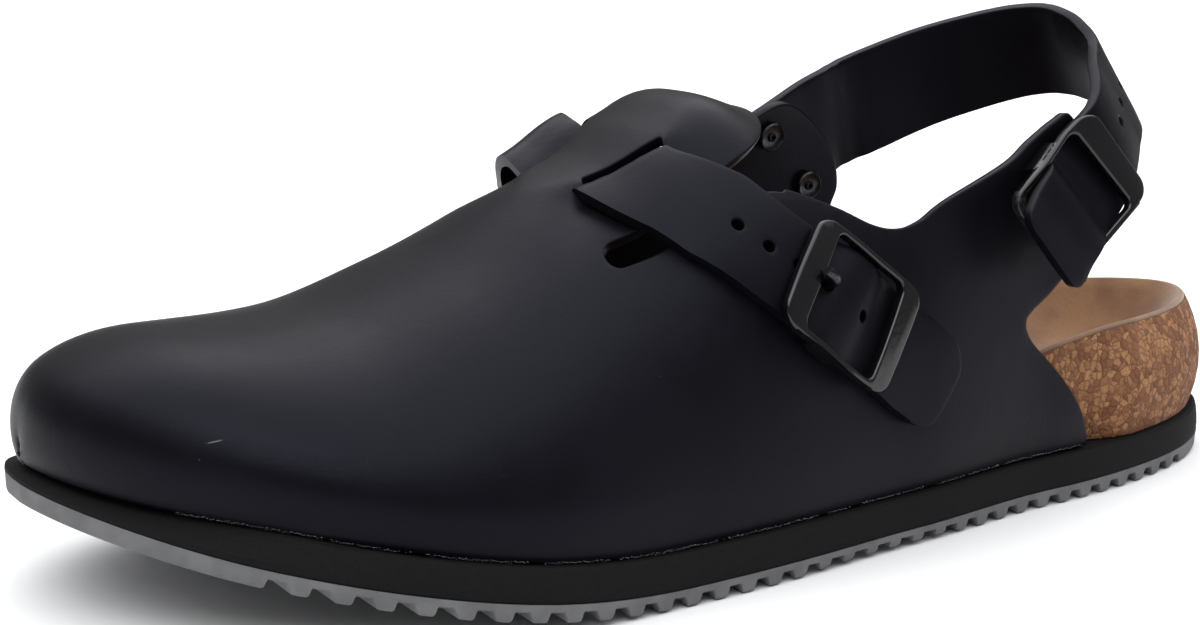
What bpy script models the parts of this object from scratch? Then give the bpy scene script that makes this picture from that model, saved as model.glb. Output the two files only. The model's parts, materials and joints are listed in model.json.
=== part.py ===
"""Chef clog, left shoe: a leather upper on a cork footbed and a rubber sole, with two buckled straps.

Lengths are in metres. The toe points to -X, the outer side to -Y and up is +Z. The shoe stands on
Z = 0 with its plan centred on the origin. In the tables a place along the shoe is a share of the
sole's length, counted from the back of the heel, and the outer side is positive.
"""
import math

import bmesh
import bpy
import numpy as np
from mathutils import Vector

# Sole and last
LENGTH = 0.283
BALL_WIDTH = 0.106
HEEL_WIDTH = 0.069
OUTSOLE = 0.0036
GROOVE_DEPTH = 0.0019
GROOVE_PITCH = 0.0066
GROOVE_MOUTH = 0.0019
GROOVE_ROOT = 0.0011
GROOVES_START = 0.085
GROOVES_END = 0.88
MIDSOLE = 0.0067
TOE_SPRING = 0.0207
ARCH_LIFT = 0.0008
ARCH_REAR = (0.33, 0.38)
ARCH_FRONT = (0.53, 0.48)
GAP = 0.0003

# Upper
INSTEP_HEIGHT = 0.0785
TOE_DEPTH = 0.0294
WALL = 0.0024
FEATHER_TUCK = 0.0026
TOE_LIP = 0.0022
TUCK_HEIGHT = 0.012
TIP_WALL = 0.35
TIP_START = math.radians(78)
ROLL_END = math.radians(88.5)
BRIDGE_RAISE = 0.0031
BRIDGE_ROOM = 0.0014
SLOT_WIDTH = 0.0052
SLOT_REACH = 0.0019
SLOT_CORNER = 0.0008
SLIT_WIDTH = 0.0054

# Footbed
FOOTBED = 0.0095
HEEL_RIM = 0.0250
RIM_WIDTH = 0.0042
COVER = 0.0012

# Straps and buckles
STRAP_WIDTH = 0.0196
STRAP = 0.0028
HOLE = 0.0030
HOLE_PITCH = 0.0066
HEEL_PITCH = 0.0080
FRAME_LENGTH = 0.0270
FRAME_SIDE = 0.0013
FRAME_BAR = 0.0028
FRAME_FRONT_BAR = 0.0052
FRAME_THICK = 0.0024
PIN = 0.0022
RIVET = 0.0066
RIVET_HEAD = 0.0012
RIVET_SHANK = 0.0030
RIVET_INSET = 0.0090
RIVET_SPREAD = 0.0136
RIVET_SKEW = 0.0026
HOLE_PLAY = 0.0004
INSTEP_TIP = 0.0075
HEEL_TIP = 0.0030
SEWN_TIP = 0.0008
TAIL_SPRING = 0.0140
HEEL_REACH = 0.0168
HEEL_HOLE = 0.0150
STRAP_LIFT = 0.0006
BAR_RISE = 0.0022
MIDDLE_BAR = 0.0018
BAR_BASE = 0.0008
CHEEK = 0.0084
PIN_REACH = 0.0058
PIN_LENGTH = 0.0062
RAMP = 0.84

# Plan of the sole: share of length, centre shift as a share of ball width, growth from heel to ball width
PLAN = (
    (0.00, -0.024, 0.00),
    (0.12, -0.017, 0.00),
    (0.25, 0.005, 0.00),
    (0.40, 0.045, 0.20),
    (0.50, 0.050, 0.45),
    (0.60, 0.035, 0.74),
    (0.72, 0.008, 1.00),
    (0.82, -0.033, 1.00),
    (0.91, -0.075, 1.00),
    (1.00, -0.118, 1.00),
)
HEEL_ROUND = 0.25
TOE_ROUND = 0.28

# Ridge of the last: share of length, height over the sole as a share of instep height, squareness
RIDGE = (
    (0.10, 1.90, 3.0),
    (0.20, 1.77, 3.0),
    (0.30, 1.50, 3.0),
    (0.36, 1.22, 3.0),
    (0.42, 1.00, 3.0),
    (0.46, 0.965, 2.9),
    (0.51, 0.985, 2.75),
    (0.56, 0.905, 2.65),
    (0.60, 0.815, 2.5),
    (0.64, 0.755, 2.4),
    (0.72, 0.595, 2.3),
    (0.80, 0.445, 2.3),
    (0.88, 0.363, 2.3),
    (0.96, 0.290, 2.3),
    (1.00, 0.255, 2.3),
)

# Sideways shift of the ridge: share of length, share of ball width
RIDGE_SHIFT = ((0.30, 0.0), (0.50, -0.038), (0.75, -0.023), (0.90, 0.0), (1.0, 0.0))

# Edge of the outer quarter: share of length, height over the sole as a share of instep height
OUTER_QUARTER = (
    (0.207, -0.10),
    (0.207, 0.00),
    (0.220, 0.10),
    (0.238, 0.19),
    (0.260, 0.27),
    (0.281, 0.34),
    (0.288, 0.39),
    (0.281, 0.42),
    (0.262, 0.46),
    (0.244, 0.52),
    (0.231, 0.64),
    (0.228, 0.76),
    (0.232, 0.87),
    (0.244, 0.935),
    (0.258, 0.920),
    (0.283, 0.873),
    (0.308, 0.822),
    (0.367, 0.745),
    (0.392, 0.700),
    (0.412, 0.685),
    (0.432, 0.700),
    (0.460, 0.750),
    (0.495, 0.795),
    (0.535, 0.812),
)
INNER_QUARTER = OUTER_QUARTER[:8] + (
    (0.276, 0.47),
    (0.298, 0.57),
    (0.292, 0.66),
    (0.299, 0.755),
    (0.322, 0.855),
    (0.353, 0.920),
    (0.382, 0.900),
    (0.408, 0.850),
    (0.440, 0.790),
    (0.495, 0.795),
    (0.535, 0.812),
)

# Tongue: where its round end starts, its rear tip and its sideways middle
TONGUE_ROOT = 0.532
TONGUE_TIP = 0.474
TONGUE_MIDDLE = 0.020

# Slits beside the tongue and slots beside the bridge, with sideways places as shares of ball width
SLIT_FRONT = (0.624, 0.285)
SLIT_REAR = (0.505, 0.298)
SLOT_FRONT = (0.622, 0.123)
SLOT_REAR = (0.560, 0.179)

# Middle of the instep strap on the outer side, from its tip to the slot, and on down the inner side:
# share of length, height over the sole as a share of instep height
INSTEP_OUTER = ((0.385, 0.250), (0.432, 0.385), (0.480, 0.520), (0.534, 0.672), (0.572, 0.780))
INSTEP_INNER = ((0.572, 0.780), (0.534, 0.672), (0.494, 0.500), (0.472, 0.290), (0.465, 0.050))
BUCKLE_REACH = 0.0345

# Inner face of the heel strap's middle, from its tail over the outer ear and around to the inner ear:
# share of length, sideways place as a share of heel width, height over the sole as a share of instep
# height, how far its outer face leans up from level in degrees, and width as a share of the strap's
HEEL_ROUTE = (
    (0.3050, 0.528, 0.590, 6.0, 1.00),
    (0.2590, 0.520, 0.722, 11.0, 1.00),
    (0.2173, 0.494, 0.842, 20.0, 1.01),
    (0.1820, 0.359, 0.927, 29.0, 1.05),
    (0.1512, 0.183, 0.991, 31.0, 1.07),
    (0.1520, -0.083, 1.053, 24.0, 1.12),
    (0.2032, -0.326, 0.986, 16.0, 1.18),
    (0.2650, -0.452, 0.888, 10.0, 1.24),
    (0.3040, -0.454, 0.832, 7.5, 1.26),
    (0.3452, -0.450, 0.758, 8.5, 1.26),
    (0.3746, -0.455, 0.702, 10.0, 1.26),
)

COLLECTION = "chef_clog"

# Cells that sheets are divided into before they are bent
UPPER_CELL = 0.0074
CROSS_CELL = 0.0072
INSTEP_CELL = 0.0028
HEEL_CELL = 0.0036
FRAME_CELL = 0.0050


def smooth(rows, column, x):
    """Value of a table's column at x, by a cubic that never overshoots its rows."""
    knots = np.array([row[0] for row in rows], float)
    values = np.array([row[column] for row in rows], float)
    x = np.clip(np.asarray(x, float), knots[0], knots[-1])
    steps = np.diff(knots)
    slopes = np.diff(values) / steps
    tangents = np.zeros(len(knots))
    tangents[0] = slopes[0]
    tangents[-1] = slopes[-1]
    for k in range(1, len(slopes)):
        if slopes[k - 1] * slopes[k] > 0:
            before = steps[k - 1] + 2 * steps[k]
            after = 2 * steps[k - 1] + steps[k]
            tangents[k] = (before + after) / (before / slopes[k] + after / slopes[k - 1])
    k = np.clip(np.searchsorted(knots, x, side="right") - 1, 0, len(steps) - 1)
    t = (x - knots[k]) / steps[k]
    return (
        values[k] * (2 * t ** 3 - 3 * t ** 2 + 1)
        + values[k + 1] * (3 * t ** 2 - 2 * t ** 3)
        + tangents[k] * steps[k] * (t ** 3 - 2 * t ** 2 + t)
        + tangents[k + 1] * steps[k] * (t ** 3 - t ** 2)
    )


def ease(x, start, end):
    """0 before start, 1 after end, smooth between; it runs downward when end is below start."""
    t = np.clip((np.asarray(x, float) - start) / (end - start), 0, 1)
    return t * t * (3 - 2 * t)


def centre_and_half(along):
    """Sideways centre and half width of the sole's plan, at a distance from the heel."""
    share = np.clip(np.asarray(along, float) / LENGTH, 0, 1)
    centre = BALL_WIDTH * smooth(PLAN, 1, share)
    half = (HEEL_WIDTH + (BALL_WIDTH - HEEL_WIDTH) * smooth(PLAN, 2, share)) / 2
    toe = np.clip((share - (1 - TOE_ROUND)) / TOE_ROUND, 0, 1)
    heel = np.clip((HEEL_ROUND - share) / HEEL_ROUND, 0, 1)
    return centre, half * np.sqrt(1 - toe ** 2) * np.sqrt(1 - heel ** 2)


def arch_lift(along):
    """Lift of the tread off the floor under the arch."""
    share = np.asarray(along) / LENGTH
    return ARCH_LIFT * ease(share, *ARCH_REAR) * ease(share, *ARCH_FRONT)


def ground(along):
    """Height of the tread over the floor: heel curve, arch and toe spring."""
    share = np.clip(np.asarray(along, float) / LENGTH, 0, 1)
    toe = TOE_SPRING * np.clip((share - 0.61) / 0.39, 0, 1) ** 1.7
    heel = 0.05 * TOE_SPRING * np.clip((0.09 - share) / 0.09, 0, 1) ** 2
    return toe + heel + arch_lift(along)


def sole_top(along):
    """Height of the midsole's upper face."""
    return ground(along) - arch_lift(along) + OUTSOLE + MIDSOLE


def plan_middle():
    """Sideways middle of the whole plan, which goes to Y = 0."""
    centre, half = centre_and_half(np.linspace(0, LENGTH, 400))
    return ((centre + half).max() + (centre - half).min()) / 2


MIDDLE = plan_middle()


def place(along, side, height):
    """World points from distances along the shoe, to the outer side and up."""
    along, side, height = np.broadcast_arrays(along, side, height)
    return np.stack([LENGTH / 2 - along, MIDDLE - side, height], axis=-1)


def upper_plan(along):
    """Sideways centre and half width of the upper, which stops short of the sole's lip at the toe."""
    start = 1 - TOE_ROUND
    share = along / LENGTH
    stretched = start + (share - start) * TOE_ROUND / (TOE_ROUND - TOE_LIP / LENGTH)
    return centre_and_half(LENGTH * np.where(share > start, stretched, share))


def ridge_height(along):
    """Height of the last's ridge over the sole, rounded off at the toe."""
    rise = INSTEP_HEIGHT * smooth(RIDGE, 1, along / LENGTH)
    x = np.clip((along - (LENGTH - TOE_LIP - TOE_DEPTH)) / TOE_DEPTH, 0, 1)
    return rise * np.clip(1 - x ** 2.3, 1e-4, 1) ** (1 / 2.3)


def bridge(along, side):
    """How much the tongue's bridge is raised by the strap under it."""
    share = along / LENGTH
    lengthwise = ease(share, SLOT_REAR[0] - 0.085, SLOT_REAR[0] - 0.022)
    lengthwise = lengthwise * ease(share, SLOT_FRONT[0] + 0.090, SLOT_FRONT[0] + 0.024)
    outer, inner = slot_sides(along)
    across = ease(side, outer + SLOT_WIDTH / 2, outer - SLOT_WIDTH / 2)
    across = across * ease(side, inner - SLOT_WIDTH / 2, inner + SLOT_WIDTH / 2)
    return BRIDGE_RAISE * lengthwise * across


def slot_sides(along):
    """Sideways places of the outer and the inner slot."""
    t = (along / LENGTH - SLOT_FRONT[0]) / (SLOT_REAR[0] - SLOT_FRONT[0])
    reach = BALL_WIDTH * (SLOT_FRONT[1] + (SLOT_REAR[1] - SLOT_FRONT[1]) * t)
    mirror = 2 * BALL_WIDTH * TONGUE_MIDDLE
    return reach, mirror - reach


def unrolled(pattern):
    """Distance along the shoe for a length on the leather pattern, which rolls down over the toe."""
    start = LENGTH - TOE_LIP - TOE_DEPTH
    roll = np.clip((pattern - start) / TOE_DEPTH, 0, math.pi / 2)
    return np.where(pattern > start, start + TOE_DEPTH * np.sin(roll), pattern)


def last_surface(pattern, angle, raised=True):
    """Point of the upper's outer face. The angle runs from the outer edge over the ridge to the inner."""
    along = unrolled(pattern)
    centre, half = upper_plan(along)
    rise = ridge_height(along)
    power = smooth(RIDGE, 2, along / LENGTH)
    c = np.cos(angle)
    s = np.abs(np.sin(angle))
    radius = (np.abs(c) ** power + s ** power) ** (-1 / power)
    up = rise * radius * s
    shift = BALL_WIDTH * smooth(RIDGE_SHIFT, 1, along / LENGTH) * radius * s
    side = centre + half * radius * c + shift
    tuck = FEATHER_TUCK * np.clip(1 - up / TUCK_HEIGHT, 0, 1) ** 2
    ahead = np.clip(along / LENGTH - (1 - TOE_ROUND), 0, None) / (TOE_ROUND ** 2 * LENGTH)
    aside = radius * c / (BALL_WIDTH / 2)
    size = np.hypot(ahead, aside) + 1e-9
    base = sole_top(along) + GAP
    if raised:
        up = up + bridge(along, side)
    return place(along - tuck * ahead / size, side - tuck * aside / size, base + up)


def last_point(pattern, angle, height, raised=True):
    """Point at a height over the upper's outer face, along the face's normal."""
    step = 0.0004
    turn = 0.006
    low = np.clip(angle - turn, 0.0, math.pi)
    high = np.clip(angle + turn, 0.0, math.pi)
    point = last_surface(pattern, angle, raised)
    forward = last_surface(pattern + step, angle, raised) - last_surface(pattern - step, angle, raised)
    around = last_surface(pattern, high, raised) - last_surface(pattern, low, raised)
    normal = np.cross(around, forward)
    normal = normal / (np.linalg.norm(normal, axis=-1, keepdims=True) + 1e-12)
    roll = (pattern - (LENGTH - TOE_LIP - TOE_DEPTH)) / TOE_DEPTH
    thin = 1 - (1 - TIP_WALL) * ease(roll, TIP_START, ROLL_END)
    return point + normal * (np.asarray(height) * thin)[..., None]


def angle_at_height(along, share, outer=True):
    """Angle on the last at a height given as a share of instep height."""
    along = np.asarray(along, float)
    power = smooth(RIDGE, 2, along / LENGTH)
    up = np.clip(np.abs(share) * INSTEP_HEIGHT / ridge_height(along), 0, 0.999)
    across = (1 - up ** power) ** (1 / power)
    angle = np.arctan2(up, across) * np.sign(share)
    return angle if outer else math.pi - angle


def angle_at_side(along, side):
    """Angle on the last at a sideways place given in metres."""
    along = np.asarray(along, float)
    side = np.asarray(side, float)
    centre, half = upper_plan(along)
    power = smooth(RIDGE, 2, along / LENGTH)
    across = np.clip((side - centre) / half, -0.999, 0.999)
    for _ in range(6):
        up = (1 - np.abs(across) ** power) ** (1 / power)
        shift = BALL_WIDTH * smooth(RIDGE_SHIFT, 1, along / LENGTH) * up
        across = np.clip((side - centre - shift) / half, -0.999, 0.999)
    return np.arctan2((1 - np.abs(across) ** power) ** (1 / power), across)


def link(obj, collection):
    """Puts an object in a collection of the scene, which is made when it is first named."""
    if collection not in bpy.data.collections:
        bpy.context.scene.collection.children.link(bpy.data.collections.new(collection))
    bpy.data.collections[collection].objects.link(obj)
    return obj


def mesh_object(name, points, faces, collection=COLLECTION):
    """Object of a mesh from points and faces, with its faces turned outward."""
    mesh = bpy.data.meshes.new(name)
    mesh.from_pydata([tuple(float(c) for c in point) for point in points], [], faces)
    work = bmesh.new()
    work.from_mesh(mesh)
    bmesh.ops.recalc_face_normals(work, faces=work.faces)
    work.to_mesh(mesh)
    work.free()
    return link(bpy.data.objects.new(name, mesh), collection)


def loft(name, rings):
    """Closed solid through rings of equal length. Both end rings are capped straight across the shoe."""
    count = len(rings[0])
    points = np.concatenate(rings)
    faces = []
    for level in range(len(rings) - 1):
        for k in range(count):
            following = (k + 1) % count
            base = level * count
            faces.append((base + k, base + following, base + count + following, base + count + k))
    for base in (0, (len(rings) - 1) * count):
        for k in range(count // 2):
            cap = {base + k, base + k + 1, base + (count - k - 1) % count, base + (count - k) % count}
            if len(cap) == 4:
                faces.append((base + k, base + k + 1, base + count - k - 1, base + count - k))
            elif len(cap) == 3:
                across = base + (count - k - 1) % count
                faces.append((base + k, base + k + 1, across if k == 0 else base + count - k))
    return mesh_object(name, points, faces)


def prism(name, outline, low, high):
    """Cutter with a flat outline, from a low to a high level."""
    curve = bpy.data.curves.new(name, "CURVE")
    curve.dimensions = "2D"
    curve.fill_mode = "BOTH"
    curve.extrude = (high - low) / 2
    spline = curve.splines.new("POLY")
    spline.points.add(len(outline) - 1)
    for point, (x, y) in zip(spline.points, outline):
        point.co = (x, y, 0, 1)
    spline.use_cyclic_u = True
    flat = link(bpy.data.objects.new(name, curve), "cutters")
    graph = bpy.context.evaluated_depsgraph_get()
    mesh = bpy.data.meshes.new_from_object(flat.evaluated_get(graph))
    bpy.data.objects.remove(flat)
    work = bmesh.new()
    work.from_mesh(mesh)
    bmesh.ops.remove_doubles(work, verts=work.verts, dist=0.00001)
    bmesh.ops.translate(work, verts=work.verts, vec=(0, 0, (low + high) / 2))
    bmesh.ops.recalc_face_normals(work, faces=work.faces)
    work.to_mesh(mesh)
    work.free()
    cutter = link(bpy.data.objects.new(name, mesh), "cutters")
    cutter.hide_render = True
    cutter.display_type = "WIRE"
    return cutter


def cut_sheet(name, corner, size, cell, low, high, steps):
    """Flat sheet of cells, from a low to a high level, cut or kept by a list of (operation, outline)."""
    cells = [max(1, round(length / step)) for length, step in zip(size, cell)]
    work = bmesh.new()
    bmesh.ops.create_grid(work, x_segments=cells[0], y_segments=cells[1], size=0.5)
    for vertex in work.verts:
        vertex.co = Vector((corner[0] + (vertex.co.x + 0.5) * size[0],
                            corner[1] + (vertex.co.y + 0.5) * size[1], low))
    region = bmesh.ops.extrude_face_region(work, geom=work.faces[:])
    lifted = [item for item in region["geom"] if isinstance(item, bmesh.types.BMVert)]
    bmesh.ops.translate(work, verts=lifted, vec=(0, 0, high - low))
    bmesh.ops.recalc_face_normals(work, faces=work.faces)
    mesh = bpy.data.meshes.new(name)
    work.to_mesh(mesh)
    work.free()
    sheet = link(bpy.data.objects.new(name, mesh), COLLECTION)
    for number, (operation, outline) in enumerate(steps):
        margin = high - low
        cutter = prism(f"{name}_cutter_{number}", outline, low - margin, high + margin)
        cut = sheet.modifiers.new(cutter.name, "BOOLEAN")
        cut.operation = operation
        cut.object = cutter
    graph = bpy.context.evaluated_depsgraph_get()
    sheet.data = bpy.data.meshes.new_from_object(sheet.evaluated_get(graph))
    sheet.modifiers.clear()
    return sheet


def reshape(sheet, shape):
    """Moves a flat sheet's points to where shape puts them, and turns its faces outward."""
    flat = np.empty(len(sheet.data.vertices) * 3)
    sheet.data.vertices.foreach_get("co", flat)
    flat = flat.reshape(-1, 3)
    bent = shape(flat[:, 0], flat[:, 1], flat[:, 2])
    sheet.data.vertices.foreach_set("co", bent.ravel())
    work = bmesh.new()
    work.from_mesh(sheet.data)
    bmesh.ops.triangulate(work, faces=[face for face in work.faces if len(face.verts) > 3])
    bmesh.ops.recalc_face_normals(work, faces=work.faces)
    work.to_mesh(sheet.data)
    work.free()
    return sheet


def join_solid(first, second):
    """Fuses a second solid into the first."""
    union = first.modifiers.new(second.name, "BOOLEAN")
    union.operation = "UNION"
    union.object = second
    graph = bpy.context.evaluated_depsgraph_get()
    first.data = bpy.data.meshes.new_from_object(first.evaluated_get(graph))
    first.modifiers.clear()
    bpy.data.objects.remove(second)
    return first


def finish(obj, material, angle=35):
    """Gives a part its material and smooth shading up to an angle between faces."""
    obj.data.materials.clear()
    obj.data.materials.append(material)
    obj.data.shade_smooth()
    obj.data.set_sharp_from_angle(angle=math.radians(angle))
    return obj


def material(name, colour, roughness, metallic=0.0):
    """Principled material with one colour, given as linear red, green and blue."""
    made = bpy.data.materials.new(name)
    made.use_nodes = True
    shader = made.node_tree.nodes["Principled BSDF"]
    shader.inputs["Base Color"].default_value = (*colour, 1)
    shader.inputs["Roughness"].default_value = roughness
    shader.inputs["Metallic"].default_value = metallic
    return made


def through(points, spans=5, closed=False):
    """Points on a smooth curve through the given ones, with the same number of spans between each two."""
    points = [np.array(point, float) for point in points]
    count = len(points)
    made = []
    for k in range(count if closed else count - 1):
        a, b, c, d = (points[i % count] if closed else points[min(max(i, 0), count - 1)]
                      for i in range(k - 1, k + 3))
        for j in range(spans):
            t = j / spans
            made.append(0.5 * (2 * b + (c - a) * t + (2 * a - 5 * b + 4 * c - d) * t ** 2
                               + (3 * b - a - 3 * c + d) * t ** 3))
    if not closed:
        made.append(points[-1])
    return made


def rounded_box(low, high, radius, steps=4):
    """Outline of a rectangle with round corners."""
    outline = []
    for k, (x, y) in enumerate(((high[0], high[1]), (low[0], high[1]), (low[0], low[1]), (high[0], low[1]))):
        middle = (x - radius if x == high[0] else x + radius, y - radius if y == high[1] else y + radius)
        for j in range(steps + 1):
            turn = math.pi / 2 * (k + j / steps)
            outline.append((middle[0] + radius * math.cos(turn), middle[1] + radius * math.sin(turn)))
    return outline


def circle(x, y, radius, count=12):
    """Outline of a round hole."""
    return [(x + radius * math.cos(2 * math.pi * k / count), y + radius * math.sin(2 * math.pi * k / count))
            for k in range(count)]


# Sole


def stations(count):
    """Distances from the heel, closer together towards both ends."""
    return [LENGTH * (1 - math.cos(math.pi * k / count)) / 2 for k in range(count + 1)]


def plan_ring(count, inset, shrink=1.0):
    """Ring of (along, side) around the sole, moved in by inset and then shrunk towards the sole's spine."""
    along = np.array(stations(count))
    centre, half = centre_and_half(along)
    outer = np.stack([along, centre + half], axis=1)
    inner = np.stack([along, centre - half], axis=1)[1:-1][::-1]
    ring = np.concatenate([outer, inner])
    edge = np.roll(ring, -1, axis=0) - np.roll(ring, 1, axis=0)
    edge = edge / np.linalg.norm(edge, axis=1, keepdims=True)
    inward = np.stack([edge[:, 1], -edge[:, 0]], axis=1)
    moved = ring + inward * np.broadcast_to(inset, len(ring))[:, None]
    spine = np.clip(ring[:, 0], 0.10 * LENGTH, 0.86 * LENGTH)
    middle = np.stack([spine, centre_and_half(spine)[0]], axis=1)
    return middle + (moved - middle) * shrink, ring[:, 0]


def make_outsole(rubber):
    """Cross bars under the whole sole, whose ends are the notches along its side."""
    first = GROOVES_START * LENGTH
    last = GROOVES_END * LENGTH
    count = round((last - first) / GROOVE_PITCH)
    levels = []
    for station in stations(34):
        if station < first - 0.002 or station > last + 0.002:
            levels.append((station, 0.0))
    for k in range(count + 1):
        middle = first + (last - first) * k / count
        levels += [(middle - GROOVE_MOUTH, 0.0), (middle - GROOVE_ROOT, GROOVE_DEPTH),
                   (middle + GROOVE_ROOT, GROOVE_DEPTH), (middle + GROOVE_MOUTH, 0.0)]
    levels = [(min(max(s, 0.0004), LENGTH - 0.0004), cut) for s, cut in sorted(levels)]
    points = []
    for along, cut in levels:
        centre, half = centre_and_half(along)
        low = float(ground(along)) + cut
        high = float(sole_top(along)) - MIDSOLE
        step = high - 0.38 * OUTSOLE
        for side, up in ((half - 0.0008, low), (half - 0.0003, step), (half, high)):
            points.append(place(along, centre + max(side, 0.001), up))
        for side, up in ((half, high), (half - 0.0003, step), (half - 0.0008, low)):
            points.append(place(along, centre - max(side, 0.001), up))
    size = 6
    faces = []
    for k in range(len(levels) - 1):
        for j in range(size):
            faces.append((k * size + j, k * size + (j + 1) % size,
                          (k + 1) * size + (j + 1) % size, (k + 1) * size + j))
    for base in (0, (len(levels) - 1) * size):
        faces += [(base, base + 1, base + 4, base + 5), (base + 1, base + 2, base + 3, base + 4)]
    return finish(mesh_object("outsole", points, faces), rubber)


def sole_rings(count, levels):
    """Rings of the sole's plan at levels of (inset at the sides, at the toe, height over the ground)."""
    rings = []
    for side_inset, toe_inset, height in levels:
        base, along = plan_ring(count, 0.0)
        inset = side_inset + (toe_inset - side_inset) * ease(along / LENGTH, 0.80, 0.97)
        ring = plan_ring(count, inset)[0]
        rings.append(place(ring[:, 0], ring[:, 1], sole_top(ring[:, 0]) - OUTSOLE - MIDSOLE + height))
    return rings


def make_midsole(foam):
    """Black layer on the outsole, which slopes back under the upper at the toe."""
    low = OUTSOLE + GAP
    levels = ((0.0006, 0.0002, low), (0.0, 0.0, low + 0.25 * MIDSOLE),
              (0.0002, 0.0010, low + 0.7 * MIDSOLE), (0.0010, 0.0026, OUTSOLE + MIDSOLE))
    return finish(loft("midsole", sole_rings(30, levels)), foam)


def rim_height(share):
    """Height of the footbed's edge over the sole: a high heel rim that falls towards the toe."""
    return FOOTBED + 0.001 + (HEEL_RIM - FOOTBED - 0.001) * ease(share, 0.50, 0.16)


def bed_height(share, across):
    """Height of the footbed's hollow, where across is 0 on its spine and 1 at the rim."""
    middle = FOOTBED - 0.0012 * ease(share, 0.55, 0.70)
    return middle + (rim_height(share) - middle) * across ** 2.8


def bed_inset(share, up):
    """Inset of the footbed's side at a height: inside the upper's wall, or bulging at the bare heel."""
    covered = WALL + 0.0018 + FEATHER_TUCK * np.clip(1 - up / TUCK_HEIGHT, 0, 1) ** 2
    covered = covered + 0.0014 * ease(share, 0.5, 0.8) + (TOE_LIP + 0.0020) * ease(share, 0.72, 0.95)
    level = np.clip(up / HEEL_RIM, 0, 1)
    bare = 0.0024 - 0.0100 * level + 0.0118 * level ** 2
    return bare + (covered - bare) * ease(share, 0.150, 0.200)


def make_footbed(cork):
    """Cork with a deep heel cup. Its side bulges at the heel, where the upper leaves it bare."""
    count = 26
    along = plan_ring(count, 0.0)[1]
    share = along / LENGTH
    rings = []
    for level in (0.0, 0.18, 0.45, 0.75, 1.0):
        up = GAP + (rim_height(share) - GAP) * level
        ring = plan_ring(count, bed_inset(share, up))[0]
        rings.append(place(ring[:, 0], ring[:, 1], sole_top(ring[:, 0]) + up))
    top_inset = bed_inset(share, rim_height(share)) + RIM_WIDTH
    for across in (1.0, 0.82, 0.60, 0.35, 0.10):
        ring = plan_ring(count, top_inset, across)[0]
        up = bed_height(share, across) - 0.0008 * (across == 1.0)
        rings.append(place(ring[:, 0], ring[:, 1], sole_top(ring[:, 0]) + up))
    return finish(loft("footbed", rings), cork)


def make_insole(suede):
    """Suede cover on the footbed, from just under its rim."""
    count = 26
    share = plan_ring(count, 0.0)[1] / LENGTH
    inset = bed_inset(share, rim_height(share)) + RIM_WIDTH + 0.0009
    under = []
    over = []
    for across in (0.10, 0.35, 0.60, 0.82, 1.0):
        ring = plan_ring(count, inset, across)[0]
        up = bed_height(share, across) + GAP + 0.0005 * across
        under.append(place(ring[:, 0], ring[:, 1], sole_top(ring[:, 0]) + up))
        ring = plan_ring(count, inset + COVER * 0.4, across)[0]
        over.append(place(ring[:, 0], ring[:, 1], sole_top(ring[:, 0]) + up + COVER))
    return finish(loft("insole", under + over[::-1]), suede)


# Upper

PATTERN_GIRTH = 1.36 * BALL_WIDTH


def on_pattern(along, angle):
    """Flat pattern point of a place on the last."""
    return float(along), float(angle) / math.pi * PATTERN_GIRTH


def quarter_edge(rows, outer):
    """Pattern points along the edge of a quarter, from its rear foot to the slit."""
    points = []
    for share, height in through(rows, 4):
        points.append(on_pattern(share * LENGTH, angle_at_height(share * LENGTH, height, outer)))
    return points


def tongue_edge():
    """Pattern points around the tongue's round end, from its outer to its inner side."""
    middle = BALL_WIDTH * TONGUE_MIDDLE
    half = BALL_WIDTH * SLIT_REAR[1] - SLIT_WIDTH / 2 - middle
    points = []
    for k in range(25):
        turn = math.pi * k / 24
        along = LENGTH * (TONGUE_ROOT - (TONGUE_ROOT - TONGUE_TIP) * math.sin(turn) ** 0.9)
        points.append(on_pattern(along, angle_at_side(along, middle + half * math.cos(turn))))
    return points


def slot_outline(start, end, reach, width, radius, outer):
    """Pattern outline of a slot with round corners, which runs a reach past two (along, side) places."""
    if not outer:
        mirror = 2 * BALL_WIDTH * TONGUE_MIDDLE
        start = (start[0], mirror - start[1])
        end = (end[0], mirror - end[1])
    turn = math.atan2(end[1] - start[1], end[0] - start[0])
    length = math.hypot(end[0] - start[0], end[1] - start[1])
    outline = []
    for x, y in rounded_box((-reach, -width / 2), (length + reach, width / 2), radius):
        along = start[0] + x * math.cos(turn) - y * math.sin(turn)
        side = start[1] + x * math.sin(turn) + y * math.cos(turn)
        outline.append(on_pattern(along, angle_at_side(along, side)))
    return outline


def upper_cuts():
    """Outlines cut out of the upper's sheet: the collar, the slits and the slots."""
    back = 0.15 * LENGTH
    outside = (back, -0.02)
    inside = (back, PATTERN_GIRTH + 0.02)
    outer = quarter_edge(OUTER_QUARTER, True)
    inner = quarter_edge(INNER_QUARTER, False)
    collar = [outside, (outer[0][0], -0.02)] + outer + tongue_edge()
    collar += inner[::-1] + [(inner[0][0], PATTERN_GIRTH + 0.02), inside]
    cuts = [("DIFFERENCE", collar)]
    slit = [(share * LENGTH, side * BALL_WIDTH) for share, side in (SLIT_FRONT, SLIT_REAR)]
    slot = [(share * LENGTH, side * BALL_WIDTH) for share, side in (SLOT_FRONT, SLOT_REAR)]
    half = SLIT_WIDTH / 2
    for outer_side in (True, False):
        cuts.append(("DIFFERENCE", slot_outline(*slit, half, SLIT_WIDTH, 0.98 * half, outer_side)))
        cuts.append(("DIFFERENCE", slot_outline(*slot, SLOT_REACH, SLOT_WIDTH, SLOT_CORNER, outer_side)))
    return cuts + [("DIFFERENCE", hole) for hole in rivet_holes(heel_route())]


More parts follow.
